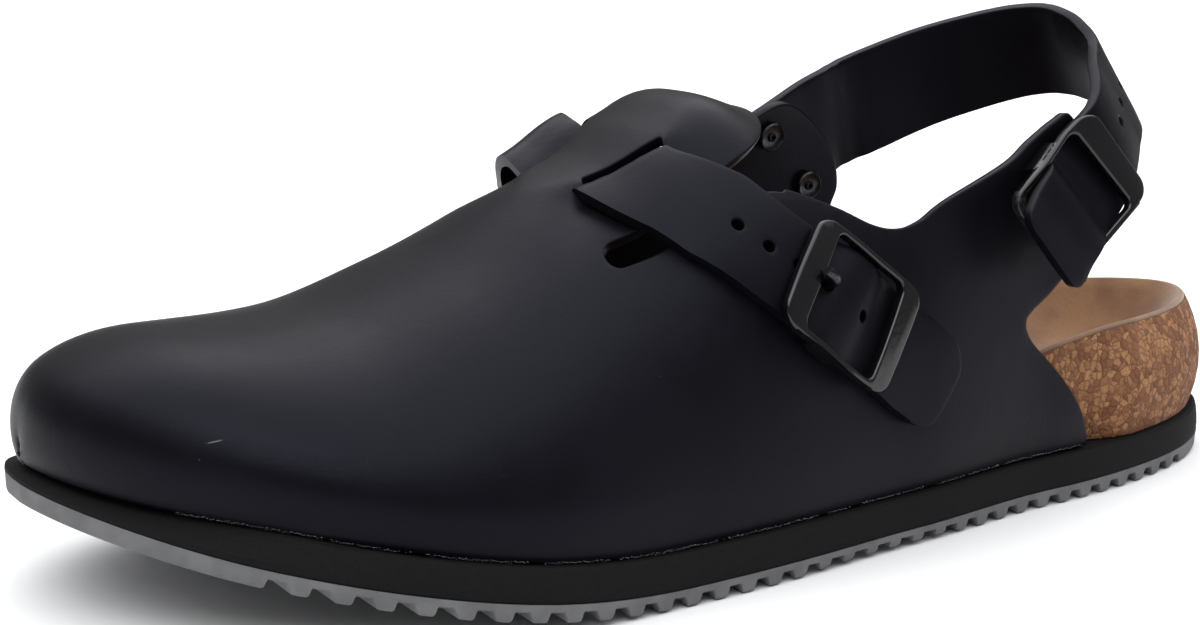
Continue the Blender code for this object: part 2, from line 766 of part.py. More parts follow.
def make_upper(leather):
    """The whole upper, cut flat as a sheet and then lasted, so its cut edges stay square to the leather."""
    start = 0.20 * LENGTH
    end = LENGTH - TOE_LIP - TOE_DEPTH + TOE_DEPTH * ROLL_END
    sheet = cut_sheet("upper", (start, 0), (end - start, PATTERN_GIRTH), (UPPER_CELL, UPPER_CELL),
                      -WALL, 0, upper_cuts())
    return finish(reshape(sheet, lambda x, y, z: last_point(x, y / PATTERN_GIRTH * math.pi, z)), leather)


# Straps


def instep_route():
    """Rows of (distance, place along the shoe, angle on the last) down the middle of the instep strap."""
    places = [(share * LENGTH, float(angle_at_height(share * LENGTH, height)))
              for share, height in INSTEP_OUTER]
    slot = (SLOT_FRONT[0] + SLOT_REAR[0]) / 2 * LENGTH
    outer, inner = slot_sides(slot)
    places += [(slot, float(angle_at_side(slot, outer))), (slot, float(angle_at_side(slot, inner)))]
    places += [(share * LENGTH, float(angle_at_height(share * LENGTH, height, False)))
               for share, height in INSTEP_INNER]
    dense = through(places, 12)
    points = last_surface(np.array([d[0] for d in dense]), np.array([d[1] for d in dense]), False)
    distance = np.concatenate([[0], np.cumsum(np.linalg.norm(np.diff(points, axis=0), axis=1))])
    return [(distance[k], *dense[k]) for k in range(0, len(dense), 4)]


def instep_point(route, forward, across, height):
    """Point on the instep strap: a distance along it, a place across it and a height over the upper."""
    along = smooth(route, 1, forward)
    angle = smooth(route, 2, forward)
    step = 0.001
    here = last_surface(along, angle, False)
    ahead = last_surface(smooth(route, 1, forward + step), smooth(route, 2, forward + step), False)
    back = last_surface(smooth(route, 1, forward - step), smooth(route, 2, forward - step), False)
    by_along = (last_surface(along + step, angle, False) - here) / step
    by_angle = (last_surface(along, angle + 0.01, False) - here) / 0.01
    run = ahead - back
    run = run / np.linalg.norm(run, axis=-1, keepdims=True)
    normal = np.cross(by_angle, by_along)
    normal = normal / np.linalg.norm(normal, axis=-1, keepdims=True)
    sideways = np.cross(run, normal)
    aa = (by_along * by_along).sum(-1)
    ab = (by_along * by_angle).sum(-1)
    bb = (by_angle * by_angle).sum(-1)
    sa = (sideways * by_along).sum(-1)
    sb = (sideways * by_angle).sum(-1)
    det = aa * bb - ab * ab
    moved_along = along + across * (sa * bb - sb * ab) / det
    moved_angle = np.clip(angle + across * (sb * aa - sa * ab) / det, 0.0, math.pi)
    return last_point(moved_along, moved_angle, height, False)


def over_bar(forward, centre):
    """Extra height of a strap where it passes over the buckle's middle bar."""
    return BAR_RISE * ease(np.abs(forward - centre), 0.25 * FRAME_LENGTH, 0.09 * FRAME_LENGTH)


FRAME_LIFT = STRAP_LIFT + STRAP + 2 * GAP


def strap_outline(length, round_start, round_end):
    """Flat outline of a strap along X with round corners of two radii."""
    half = STRAP_WIDTH / 2
    outline = []
    corners = ((length - round_end, half - round_end, 0, round_end),
               (round_start, half - round_start, 1, round_start),
               (round_start, round_start - half, 2, round_start),
               (length - round_end, round_end - half, 3, round_end))
    for x, y, quarter, radius in corners:
        for k in range(6):
            turn = math.pi / 2 * (quarter + k / 5)
            outline.append((x + radius * math.cos(turn), y + radius * math.sin(turn)))
    return outline


def make_strap(name, leather, length, ends, holes, cell, point, lift):
    """Strap cut flat with its holes and then laid along its route. Each hole is (x, y, diameter)."""
    margin = 0.001
    steps = [("INTERSECT", strap_outline(length, *ends))]
    steps += [("DIFFERENCE", circle(x, y, size / 2)) for x, y, size in holes]
    sheet = cut_sheet(name, (-margin, -STRAP_WIDTH / 2 - margin),
                      (length + 2 * margin, STRAP_WIDTH + 2 * margin), (cell, CROSS_CELL), 0, STRAP, steps)
    return finish(reshape(sheet, lambda x, y, z: point(x, y, lift(x, y) + z)), leather)


def make_frame(name, plastic, centre, point):
    """Buckle frame with a wide front bar and a middle bar, bent to the route of its strap."""
    half = FRAME_LENGTH / 2
    inside = STRAP_WIDTH / 2 + 0.0004
    outside = inside + FRAME_SIDE
    low = FRAME_LIFT
    outer = rounded_box((centre - half, -outside), (centre + half, outside), 0.0035)
    window = rounded_box((centre - half + FRAME_BAR, -inside), (centre + half - FRAME_FRONT_BAR, inside),
                         0.0016)
    frame = cut_sheet(name, (centre - half - 0.001, -outside - 0.001),
                      (FRAME_LENGTH + 0.002, 2 * outside + 0.002), (FRAME_CELL, FRAME_CELL),
                      low, low + FRAME_THICK, [("INTERSECT", outer), ("DIFFERENCE", window)])
    cheek_top = low + FRAME_THICK - 0.0004
    bar_top = BAR_BASE + BAR_RISE - GAP - 0.0002
    pieces = (("cheek_0", CHEEK, inside, outside, cheek_top),
              ("cheek_1", CHEEK, -outside, -inside, cheek_top),
              ("bar", MIDDLE_BAR, -outside, outside, bar_top))
    for piece, length, left, right, top in pieces:
        extra = cut_sheet(f"{name}_{piece}", (centre - length / 2, left), (length, right - left),
                          (FRAME_CELL, FRAME_CELL), BAR_BASE, top, [])
        frame = join_solid(frame, extra)
    return finish(reshape(frame, lambda x, y, z: point(x, y, z)), plastic)


def make_pin(name, metal, centre, point):
    """Pin that stands in the strap's hole and rests on the front bar."""
    hole = centre + PIN_REACH
    top = FRAME_LIFT + FRAME_THICK + PIN / 2 + 0.0004
    path = ((hole, 0.0018), (hole, 0.0036), (hole + 0.0006, top - 0.0012), (hole + 0.0026, top),
            (hole + PIN_LENGTH, top))
    curve = bpy.data.curves.new(name, "CURVE")
    curve.dimensions = "3D"
    curve.bevel_depth = PIN / 2
    curve.bevel_resolution = 2
    curve.use_fill_caps = True
    spline = curve.splines.new("POLY")
    dense = through(path, 2)
    spline.points.add(len(dense) - 1)
    xs = np.array([p[0] for p in dense])
    placed = point(xs, np.zeros(len(xs)), np.array([p[1] for p in dense]))
    for target, place_ in zip(spline.points, placed):
        target.co = (*place_, 1)
    rod = link(bpy.data.objects.new(name, curve), COLLECTION)
    graph = bpy.context.evaluated_depsgraph_get()
    mesh = bpy.data.meshes.new_from_object(rod.evaluated_get(graph))
    bpy.data.objects.remove(rod)
    work = bmesh.new()
    work.from_mesh(mesh)
    bmesh.ops.remove_doubles(work, verts=work.verts, dist=0.00001)
    bmesh.ops.recalc_face_normals(work, faces=work.faces)
    work.to_mesh(mesh)
    work.free()
    return finish(link(bpy.data.objects.new(name, mesh), COLLECTION), metal)


def instep_lift(route):
    """Height of the instep strap's underside over the last, along and across the strap."""
    under = BRIDGE_RAISE - WALL - BRIDGE_ROOM - STRAP

    def lift(forward, across):
        points = instep_point(route, forward, across, np.zeros(len(forward)))
        along = LENGTH / 2 - points[:, 0]
        side = MIDDLE - points[:, 1]
        outer, inner = slot_sides(along)
        ramp = RAMP * SLOT_WIDTH
        dive = np.clip((outer - side) / ramp + 0.5, 0, 1) * np.clip((side - inner) / ramp + 0.5, 0, 1)
        return STRAP_LIFT + over_bar(forward, BUCKLE_REACH) + (under - STRAP_LIFT) * dive

    return lift


def heel_route():
    """Rows of (distance, world point, lean, width share) down the middle of the heel strap's inner face."""
    base = sole_top(0.3 * LENGTH)
    points = []
    for share, side, height, lean, width in HEEL_ROUTE:
        point = place(share * LENGTH, side * HEEL_WIDTH, base + height * INSTEP_HEIGHT)
        points.append((*point, lean, width))
    dense = np.array(through(points, 8))
    distance = np.concatenate([[0], np.cumsum(np.linalg.norm(np.diff(dense[:, :3], axis=0), axis=1))])
    return [(distance[k], *dense[k]) for k in range(0, len(dense), 4)]


def heel_point(route, forward, across, height):
    """Point on the heel strap, from a distance along it, a place across it and a height outward."""
    def middle(distance):
        return np.stack([smooth(route, column, distance) for column in (1, 2, 3)], axis=-1)

    step = 0.001
    run = middle(forward + step) - middle(forward - step)
    run = run / np.linalg.norm(run, axis=-1, keepdims=True)
    level = np.stack([run[:, 1], -run[:, 0], np.zeros(len(run))], axis=-1)
    level = level / np.linalg.norm(level, axis=-1, keepdims=True)
    lean = np.radians(smooth(route, 4, forward))[:, None]
    upward = np.cross(run, level)
    upward = upward * np.sign(upward[:, 2:3])
    normal = level * np.cos(lean) + upward * np.sin(lean)
    width = np.cross(run, normal)
    width = width * np.sign(width[:, 2:3]) * smooth(route, 5, forward)[:, None]
    return middle(forward) + width * np.asarray(across)[:, None] + normal * np.asarray(height)[:, None]


def ear_place(route, forward, across):
    """Distance along the shoe and height over the upper's base of a place on the heel strap."""
    x, y, z = heel_point(route, np.array([forward]), np.array([across]), np.array([0.0]))[0]
    along = LENGTH / 2 - x
    return along, z - float(sole_top(along)) - GAP


def make_rivet(name, metal, route, forward, across):
    """Turned rivet through the ear and the strap, with a flat head on each side."""
    along, up = ear_place(route, forward, across)
    angle = angle_at_height(along, up / INSTEP_HEIGHT, False)
    low = Vector(last_point(along, angle, -WALL - 2 * GAP - RIVET_HEAD))
    top = STRAP_LIFT + STRAP + GAP + RIVET_HEAD
    high = Vector(heel_point(route, np.array([forward]), np.array([across]), np.array([top]))[0])
    length = (high - low).length
    head = RIVET / 2
    shank = RIVET_SHANK / 2
    profile = ((0.0, 0.0), (head, 0.0), (head, RIVET_HEAD), (shank, RIVET_HEAD),
               (shank, length - RIVET_HEAD), (head, length - RIVET_HEAD), (head, length), (0.0, length))
    outline = bpy.data.meshes.new(name + "_profile")
    outline.from_pydata([(radius, 0, level) for radius, level in profile],
                        [(k, k + 1) for k in range(len(profile) - 1)], [])
    turned = link(bpy.data.objects.new(name + "_profile", outline), COLLECTION)
    screw = turned.modifiers.new("turn", "SCREW")
    screw.steps = 12
    screw.render_steps = 12
    screw.use_merge_vertices = True
    screw.merge_threshold = 0.00001
    mesh = bpy.data.meshes.new_from_object(turned.evaluated_get(bpy.context.evaluated_depsgraph_get()))
    bpy.data.objects.remove(turned)
    turn = (high - low).to_track_quat("Z", "Y").to_matrix()
    work = bmesh.new()
    work.from_mesh(mesh)
    bmesh.ops.remove_doubles(work, verts=work.verts, dist=0.00001)
    for vertex in work.verts:
        vertex.co = turn @ vertex.co + low
    if work.calc_volume(signed=True) < 0:
        bmesh.ops.reverse_faces(work, faces=work.faces)
    work.to_mesh(mesh)
    work.free()
    return finish(link(bpy.data.objects.new(name, mesh), COLLECTION), metal)


def rivet_places(route):
    """Place along and across the heel strap of each rivet, with its part's name."""
    forward = route[-1][0] - RIVET_INSET
    return (("rivet_upper", forward + RIVET_SKEW, RIVET_SPREAD / 2),
            ("rivet_lower", forward - RIVET_SKEW, -RIVET_SPREAD / 2))


def rivet_holes(route):
    """Pattern outlines of the holes for the rivets in the inner ear."""
    outlines = []
    for name, forward, across in rivet_places(route):
        ring = circle(*ear_place(route, forward, across), RIVET_SHANK / 2 + HOLE_PLAY)
        outlines.append([on_pattern(x, angle_at_height(x, up / INSTEP_HEIGHT, False)) for x, up in ring])
    return outlines


def make_heel(leather, plastic, metal):
    """Heel strap on its route, with its buckle and the two rivets that hold it to the inner ear."""
    route = heel_route()

    def point(forward, across, height):
        return heel_point(route, forward, across, height)

    def lift(forward, across):
        tail = np.clip(HEEL_REACH + 0.0005 - forward, 0, None)
        spring = TAIL_SPRING * (1 - np.exp(-tail / TAIL_SPRING))
        return STRAP_LIFT + over_bar(forward, HEEL_REACH) + spring

    holes = [(HEEL_REACH + HEEL_HOLE + HEEL_PITCH * k, 0, HOLE) for k in range(4)]
    holes += [(forward, across, RIVET_SHANK + 2 * HOLE_PLAY)
              for name, forward, across in rivet_places(route)]
    make_strap("heel_strap", leather, route[-1][0], (HEEL_TIP, SEWN_TIP), holes, HEEL_CELL, point, lift)
    make_frame("heel_buckle", plastic, HEEL_REACH, point)
    for name, forward, across in rivet_places(route):
        make_rivet(name, metal, route, forward, across)


def make_instep(leather, plastic, metal):
    """Instep strap on its route, with its buckle and the pin."""
    route = instep_route()
    length = route[-1][0]

    def point(forward, across, height):
        return instep_point(route, forward, across, height)

    holes = [(BUCKLE_REACH + PIN_REACH + HOLE_PITCH * k, 0, HOLE) for k in (-1, 0, 1, 2, 3)]
    make_strap("instep_strap", leather, length, (INSTEP_TIP, SEWN_TIP), holes, INSTEP_CELL, point,
               instep_lift(route))
    make_frame("instep_buckle", plastic, BUCKLE_REACH, point)
    make_pin("instep_pin", metal, BUCKLE_REACH, point)


def main():
    """Clear the file and make every sub-part."""
    for old in list(bpy.data.objects):
        bpy.data.objects.remove(old)
    leather = material("smooth_leather", (0.012, 0.012, 0.014), 0.35)
    rubber = material("outsole_rubber", (0.21, 0.21, 0.215), 0.7)
    foam = material("midsole_foam", (0.010, 0.010, 0.011), 0.6)
    cork = material("cork", (0.39, 0.17, 0.065), 0.85)
    suede = material("suede", (0.27, 0.16, 0.085), 0.95)
    make_outsole(rubber)
    make_midsole(foam)
    make_footbed(cork)
    make_insole(suede)
    make_upper(leather)
    plastic = material("buckle_plastic", (0.010, 0.010, 0.011), 0.18)
    metal = material("pin_metal", (0.05, 0.05, 0.05), 0.3, 1.0)
    make_instep(leather, plastic, metal)
    make_heel(leather, plastic, metal)


main()
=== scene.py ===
"""Chef clog, left shoe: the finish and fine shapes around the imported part, as a lesson in cells.

Lengths are in metres. The toe points to -X, the outer side to -Y and up is +Z. In the tables a place
along the shoe is a share of the sole's length, counted from the back of the heel, and the outer side
is positive. Colours are sRGB hex values.
"""

# %% [markdown]
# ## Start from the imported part
# The plain solids of the clog are already packed, and they fix where everything is. This script keeps
# that frame and builds the leather, cork, rubber and buckles around it in finer shapes. Before it
# starts, the objects of a new Blender file are taken out, so that only the clog is in the scene.

# %% Load the frame
import json
import math

import bmesh
import bpy
import numpy as np
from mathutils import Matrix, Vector

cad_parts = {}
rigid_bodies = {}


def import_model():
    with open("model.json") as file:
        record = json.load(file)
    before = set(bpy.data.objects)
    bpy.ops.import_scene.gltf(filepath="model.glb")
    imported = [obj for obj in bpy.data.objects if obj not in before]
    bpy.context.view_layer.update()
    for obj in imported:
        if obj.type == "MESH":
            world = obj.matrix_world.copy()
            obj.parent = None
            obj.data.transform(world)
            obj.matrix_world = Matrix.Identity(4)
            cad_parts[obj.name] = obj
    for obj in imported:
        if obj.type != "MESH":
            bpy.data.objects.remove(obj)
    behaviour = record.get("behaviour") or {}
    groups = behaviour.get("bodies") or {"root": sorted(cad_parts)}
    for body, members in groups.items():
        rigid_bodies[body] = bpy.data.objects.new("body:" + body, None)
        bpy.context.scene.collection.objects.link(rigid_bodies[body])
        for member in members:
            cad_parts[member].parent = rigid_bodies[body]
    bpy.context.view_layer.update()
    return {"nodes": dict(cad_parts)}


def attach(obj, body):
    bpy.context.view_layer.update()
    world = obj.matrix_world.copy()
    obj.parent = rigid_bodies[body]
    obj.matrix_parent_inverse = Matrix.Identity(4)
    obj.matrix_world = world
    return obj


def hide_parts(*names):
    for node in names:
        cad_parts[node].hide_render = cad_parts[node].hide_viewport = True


for old in list(bpy.data.objects):
    bpy.data.objects.remove(old)

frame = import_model()
print("nodes:", ", ".join(sorted(frame["nodes"])))

# %% [markdown]
# ## Colours and nodes
# A photograph's colours are sRGB, and shaders want linear light. One function turns a hex value into
# linear red, green and blue. A second small function adds a node, sets it up and links its inputs, so
# each material below reads as a list of what it is made of.

# %% Colour and node helpers


def linear(colour):
    """Linear red, green, blue and alpha from an sRGB hex value such as #8E6F52."""
    parts = [int(colour[k:k + 2], 16) / 255 for k in (1, 3, 5)]
    return [c / 12.92 if c <= 0.04045 else ((c + 0.055) / 1.055) ** 2.4 for c in parts] + [1.0]


def add(tree, kind, inputs=None, **settings):
    """Adds a node with its settings, and gives each input a value or a link from another socket."""
    node = tree.nodes.new(kind)
    for name, value in settings.items():
        setattr(node, name, value)
    for key, value in (inputs or {}).items():
        if isinstance(value, bpy.types.NodeSocket):
            tree.links.new(value, node.inputs[key])
        else:
            node.inputs[key].default_value = value
    return node


def surface(name, roughness, **sockets):
    """New material, its node tree and its Principled shader with fixed values on its sockets."""
    made = bpy.data.materials.new(name)
    made.use_nodes = True
    shader = made.node_tree.nodes["Principled BSDF"]
    shader.inputs["Roughness"].default_value = roughness
    for key, value in sockets.items():
        shader.inputs[key.replace("_", " ")].default_value = value
    return made, made.node_tree, shader


def mixed(tree, share, first, second):
    """Colour between two hex values or colour sockets, by a share from 0 to 1."""
    ends = [linear(value) if isinstance(value, str) else value for value in (first, second)]
    node = add(tree, "ShaderNodeMix", {"Factor": share}, data_type="RGBA")
    for socket, value in zip((node.inputs[6], node.inputs[7]), ends):
        if isinstance(value, bpy.types.NodeSocket):
            tree.links.new(value, socket)
        else:
            socket.default_value = value
    return node.outputs[2]


def ramp(tree, value, start, end, low=0.0, high=1.0):
    """Smooth change of a value from low to high, as it goes from start to end."""
    node = add(tree, "ShaderNodeMapRange", {"Value": value, "From Min": start, "From Max": end,
                                            "To Min": low, "To Max": high},
               interpolation_type="SMOOTHSTEP")
    return node.outputs["Result"]


def sums(tree, operation, first, second):
    """One maths step between two values or sockets."""
    return add(tree, "ShaderNodeMath", {0: first, 1: second}, operation=operation).outputs[0]


print("the floor's grey in linear light:", round(linear("#E6E6E6")[0], 3))

# %% [markdown]
# ## Objects and meshes
# Two helpers serve all the shapes below. One puts an object into the scene. The other gives the plain
# mesh that an object has once its modifiers have worked. Sizes are given in metres, or in millimetres
# times MM. Points closer together than WELD are joined.

# %% Object helpers
MM = 0.001
WELD = 0.00001


def in_scene(name, data):
    """New object in the scene with a mesh, curve, lamp or camera."""
    made = bpy.data.objects.new(name, data)
    bpy.context.scene.collection.objects.link(made)
    return made


def result(made):
    """Mesh of an object as its modifiers or its curve's settings leave it."""
    return bpy.data.meshes.new_from_object(made.evaluated_get(bpy.context.evaluated_depsgraph_get()))


print("points are joined within", WELD / MM, "mm")

# %% [markdown]
# ## The last and the sole's plan
# A clog's upper takes its shape from a last, a solid foot form. Here the last is a rule: a plan gives
# its centre and width at each distance from the heel, and a ridge gives its height. The same rule
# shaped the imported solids, so the finer leather lies exactly where they are, apart from the very tip
# of the toe, where the sole is drawn back and the leather comes down over it. Tables hold the numbers,
# and a cubic that never overshoots joins their rows.

# %% Sizes of the sole and the last
LENGTH = 0.283
BALL_WIDTH = 0.106
HEEL_WIDTH = 0.069
OUTSOLE = 0.0036
GROOVE_DEPTH = 0.0019
MIDSOLE = 0.0067
TOE_SPRING = 0.0207
SPRING_START = 0.61
SPRING_POWER = 1.7
HEEL_SPRING = 0.05
HEEL_CURVE = 0.09
ARCH_LIFT = 0.0008
ARCH_REAR = (0.33, 0.38)
ARCH_FRONT = (0.53, 0.48)
GAP = 0.0003
INSTEP_HEIGHT = 0.0785
TOE_DEPTH = 0.0294
WALL = 0.0024
FEATHER_TUCK = 0.0026
TOE_LIP = 0.0022
TUCK_HEIGHT = 0.012
TIP_SQUARENESS = 2.3
TIP_WALL = 0.35
TIP_START = math.radians(78)
ROLL_END = math.radians(89.6)
BRIDGE_RAISE = 0.0031
BRIDGE_REAR = (0.085, 0.022)
BRIDGE_FRONT = (0.120, 0.016)
BRIDGE_FADE = 1.8
BRIDGE_FADE_END = 20 * MM
SLOT_WIDTH = 0.0052
SLOT_CORNER = 0.0008
SLIT_WIDTH = 0.0054
SLOT_FRONT = (0.622, 0.123)
SLOT_REAR = (0.560, 0.179)
SLIT_FRONT = (0.624, 0.285)
SLIT_REAR = (0.505, 0.298)
TONGUE_ROOT = 0.532
TONGUE_TIP = 0.474
TONGUE_MIDDLE = 0.020
TONGUE_FULLNESS = 0.9
TONGUE_STEPS = 72
HEEL_ROUND = 0.25
TOE_ROUND = 0.28

# Share of length, centre shift as a share of ball width, growth from heel to ball width
PLAN = (
    (0.00, -0.024, 0.00),
    (0.12, -0.017, 0.00),
    (0.25, 0.005, 0.00),
    (0.40, 0.045, 0.20),
    (0.50, 0.050, 0.45),
    (0.60, 0.035, 0.74),
    (0.72, 0.008, 1.00),
    (0.82, -0.033, 1.00),
    (0.91, -0.075, 1.00),
    (1.00, -0.118, 1.00),
)

# Share of length, height over the sole as a share of instep height, squareness
RIDGE = (
    (0.10, 1.90, 3.0),
    (0.20, 1.77, 3.0),
    (0.30, 1.50, 3.0),
    (0.36, 1.22, 3.0),
    (0.42, 1.00, 3.0),
    (0.46, 0.965, 2.9),
    (0.51, 0.985, 2.75),
    (0.56, 0.905, 2.65),
    (0.60, 0.815, 2.5),
    (0.64, 0.755, 2.4),
    (0.72, 0.595, 2.3),
    (0.80, 0.445, 2.3),
    (0.88, 0.363, 2.3),
    (0.96, 0.290, 2.3),
    (1.00, 0.255, 2.3),
)

# Share of length, sideways shift of the ridge as a share of ball width
RIDGE_SHIFT = ((0.30, 0.0), (0.50, -0.038), (0.75, -0.023), (0.90, 0.0), (1.0, 0.0))

# %% Curves through the tables
def smooth(rows, column, x):
    """Value of a table's column at x, by a cubic that never overshoots its rows."""
    knots = np.array([row[0] for row in rows], float)
    values = np.array([row[column] for row in rows], float)
    x = np.clip(np.asarray(x, float), knots[0], knots[-1])
    steps = np.diff(knots)
    slopes = np.diff(values) / steps
    tangents = np.zeros(len(knots))
    tangents[0] = slopes[0]
    tangents[-1] = slopes[-1]
    for k in range(1, len(slopes)):
        if slopes[k - 1] * slopes[k] > 0:
            before = steps[k - 1] + 2 * steps[k]
            after = 2 * steps[k - 1] + steps[k]
            tangents[k] = (before + after) / (before / slopes[k] + after / slopes[k - 1])
    k = np.clip(np.searchsorted(knots, x, side="right") - 1, 0, len(steps) - 1)
    t = (x - knots[k]) / steps[k]
    return (
        values[k] * (2 * t ** 3 - 3 * t ** 2 + 1)
        + values[k + 1] * (3 * t ** 2 - 2 * t ** 3)
        + tangents[k] * steps[k] * (t ** 3 - 2 * t ** 2 + t)
        + tangents[k + 1] * steps[k] * (t ** 3 - t ** 2)
    )


def ease(x, start, end):
    """0 before start, 1 after end, smooth between; it runs downward when end is below start."""
    t = np.clip((np.asarray(x, float) - start) / (end - start), 0, 1)
    return t * t * (3 - 2 * t)


def through(points, spans):
    """Points on a smooth curve through the given ones, with the same number of spans between each two."""
    points = [np.array(point, float) for point in points]
    end = len(points) - 1
    made = []
    for k in range(end):
        a, b, c, d = (points[min(max(i, 0), end)] for i in range(k - 1, k + 3))
        for j in range(spans):
            t = j / spans
            made.append(0.5 * (2 * b + (c - a) * t + (2 * a - 5 * b + 4 * c - d) * t ** 2
                               + (3 * b - a - 3 * c + d) * t ** 3))
    made.append(points[-1])
    return made


# %% Plan of the sole and its heights
def centre_and_half(along):
    """Sideways centre and half width of the sole's plan, at a distance from the heel."""
    share = np.clip(np.asarray(along, float) / LENGTH, 0, 1)
    centre = BALL_WIDTH * smooth(PLAN, 1, share)
    half = (HEEL_WIDTH + (BALL_WIDTH - HEEL_WIDTH) * smooth(PLAN, 2, share)) / 2
    toe = np.clip((share - (1 - TOE_ROUND)) / TOE_ROUND, 0, 1)
    heel = np.clip((HEEL_ROUND - share) / HEEL_ROUND, 0, 1)
    return centre, half * np.sqrt(1 - toe ** 2) * np.sqrt(1 - heel ** 2)


def arch_lift(along):
    """Lift of the tread off the floor under the arch."""
    share = np.asarray(along) / LENGTH
    return ARCH_LIFT * ease(share, *ARCH_REAR) * ease(share, *ARCH_FRONT)


def ground(along):
    """Height of the tread over the floor: heel curve, arch and toe spring."""
    share = np.clip(np.asarray(along, float) / LENGTH, 0, 1)
    toe = TOE_SPRING * np.clip((share - SPRING_START) / (1 - SPRING_START), 0, 1) ** SPRING_POWER
    heel = HEEL_SPRING * TOE_SPRING * np.clip((HEEL_CURVE - share) / HEEL_CURVE, 0, 1) ** 2
    return toe + heel + arch_lift(along)


def sole_top(along):
    """Height of the midsole's upper face."""
    return ground(along) - arch_lift(along) + OUTSOLE + MIDSOLE


def plan_middle():
    """Sideways middle of the whole plan, which goes to Y = 0."""
    centre, half = centre_and_half(np.linspace(0, LENGTH, 400))
    return ((centre + half).max() + (centre - half).min()) / 2


MIDDLE = plan_middle()
print("middle of the plan: %.2f mm" % (MIDDLE / MM))

# %% The last's surface
TIP_DROP = 3.4 * MM
TIP_REACH = (0.86, 0.995)
TIP_FADE = (16 * MM, 1 * MM)
TIP_PULL = 1.8 * MM
PULL_REACH = (0.88, 1.0)


def place(along, side, height):
    """World points from distances along the shoe, to the outer side and up."""
    along, side, height = np.broadcast_arrays(along, side, height)
    return np.stack([LENGTH / 2 - along, MIDDLE - side, height], axis=-1)


def upper_plan(along):
    """Sideways centre and half width of the upper, which stops short of the sole's lip at the toe."""
    start = 1 - TOE_ROUND
    share = along / LENGTH
    stretched = start + (share - start) * TOE_ROUND / (TOE_ROUND - TOE_LIP / LENGTH)
    return centre_and_half(LENGTH * np.where(share > start, stretched, share))


def ridge_height(along):
    """Height of the last's ridge over the sole, rounded off at the toe."""
    rise = INSTEP_HEIGHT * smooth(RIDGE, 1, along / LENGTH)
    x = np.clip((along - (LENGTH - TOE_LIP - TOE_DEPTH)) / TOE_DEPTH, 0, 1)
    return rise * np.clip(1 - x ** TIP_SQUARENESS, 1e-4, 1) ** (1 / TIP_SQUARENESS)


def slot_sides(along):
    """Sideways places of the outer and the inner slot."""
    t = (along / LENGTH - SLOT_FRONT[0]) / (SLOT_REAR[0] - SLOT_FRONT[0])
    reach = BALL_WIDTH * (SLOT_FRONT[1] + (SLOT_REAR[1] - SLOT_FRONT[1]) * t)
    mirror = 2 * BALL_WIDTH * TONGUE_MIDDLE
    return reach, mirror - reach


def bridge(along, side):
    """How much the tongue is raised by the strap under it. The rise spreads out smoothly past the slots."""
    share = along / LENGTH
    lengthwise = ease(share, SLOT_REAR[0] - BRIDGE_REAR[0], SLOT_REAR[0] - BRIDGE_REAR[1])
    lengthwise = lengthwise * ease(share, SLOT_FRONT[0] + BRIDGE_FRONT[0], SLOT_FRONT[0] + BRIDGE_FRONT[1])
    outer, inner = slot_sides(along)
    beyond = LENGTH * (np.clip(share - SLOT_FRONT[0], 0, None) + np.clip(SLOT_REAR[0] - share, 0, None))
    blur = SLOT_WIDTH / 2 + np.clip(BRIDGE_FADE * beyond, 0, BRIDGE_FADE_END)
    across = ease(side, outer + blur, outer - 0.6 * blur)
    across = across * ease(side, inner - blur, inner + 0.6 * blur)
    return BRIDGE_RAISE * lengthwise * across


def unrolled(pattern):
    """Distance along the shoe for a length on the leather pattern, which rolls down over the toe."""
    start = LENGTH - TOE_LIP - TOE_DEPTH
    roll = np.clip((pattern - start) / TOE_DEPTH, 0, math.pi / 2)
    return np.where(pattern > start, start + TOE_DEPTH * np.sin(roll), pattern)


def last_surface(pattern, angle, raised=True):
    """Point of the upper's outer face. The angle runs from the outer edge over the ridge to the inner."""
    along = unrolled(pattern)
    centre, half = upper_plan(along)
    rise = ridge_height(along)
    power = smooth(RIDGE, 2, along / LENGTH)
    c = np.cos(angle)
    s = np.abs(np.sin(angle))
    radius = (np.abs(c) ** power + s ** power) ** (-1 / power)
    up = rise * radius * s
    shift = BALL_WIDTH * smooth(RIDGE_SHIFT, 1, along / LENGTH) * radius * s
    side = centre + half * radius * c + shift
    tuck = FEATHER_TUCK * np.clip(1 - up / TUCK_HEIGHT, 0, 1) ** 2
    ahead = np.clip(along / LENGTH - (1 - TOE_ROUND), 0, None) / (TOE_ROUND ** 2 * LENGTH)
    aside = radius * c / (BALL_WIDTH / 2)
    size = np.hypot(ahead, aside) + 1e-9
    base = sole_top(along) + GAP
    if raised:
        up = up + bridge(along, side)
    return place(along - tuck * ahead / size, side - tuck * aside / size, base + up)


def last_point(pattern, angle, height, raised=True):
    """Point at a height over the upper's outer face, along the face's normal."""
    step = 0.0004
    turn = 0.006
    low = np.clip(angle - turn, 0.0, math.pi)
    high = np.clip(angle + turn, 0.0, math.pi)
    point = last_surface(pattern, angle, raised)
    forward = last_surface(pattern + step, angle, raised) - last_surface(pattern - step, angle, raised)
    around = last_surface(pattern, high, raised) - last_surface(pattern, low, raised)
    normal = np.cross(around, forward)
    normal = normal / (np.linalg.norm(normal, axis=-1, keepdims=True) + 1e-12)
    roll = (pattern - (LENGTH - TOE_LIP - TOE_DEPTH)) / TOE_DEPTH
    thin = 1 - (1 - TIP_WALL) * ease(roll, TIP_START, ROLL_END)
    return point + normal * (np.asarray(height) * thin)[..., None]


def angle_at_height(along, share, outer=True):
    """Angle on the last at a height given as a share of instep height."""
    along = np.asarray(along, float)
    power = smooth(RIDGE, 2, along / LENGTH)
    up = np.clip(np.abs(share) * INSTEP_HEIGHT / ridge_height(along), 0, 0.999)
    across = (1 - up ** power) ** (1 / power)
    angle = np.arctan2(up, across) * np.sign(share)
    return angle if outer else math.pi - angle


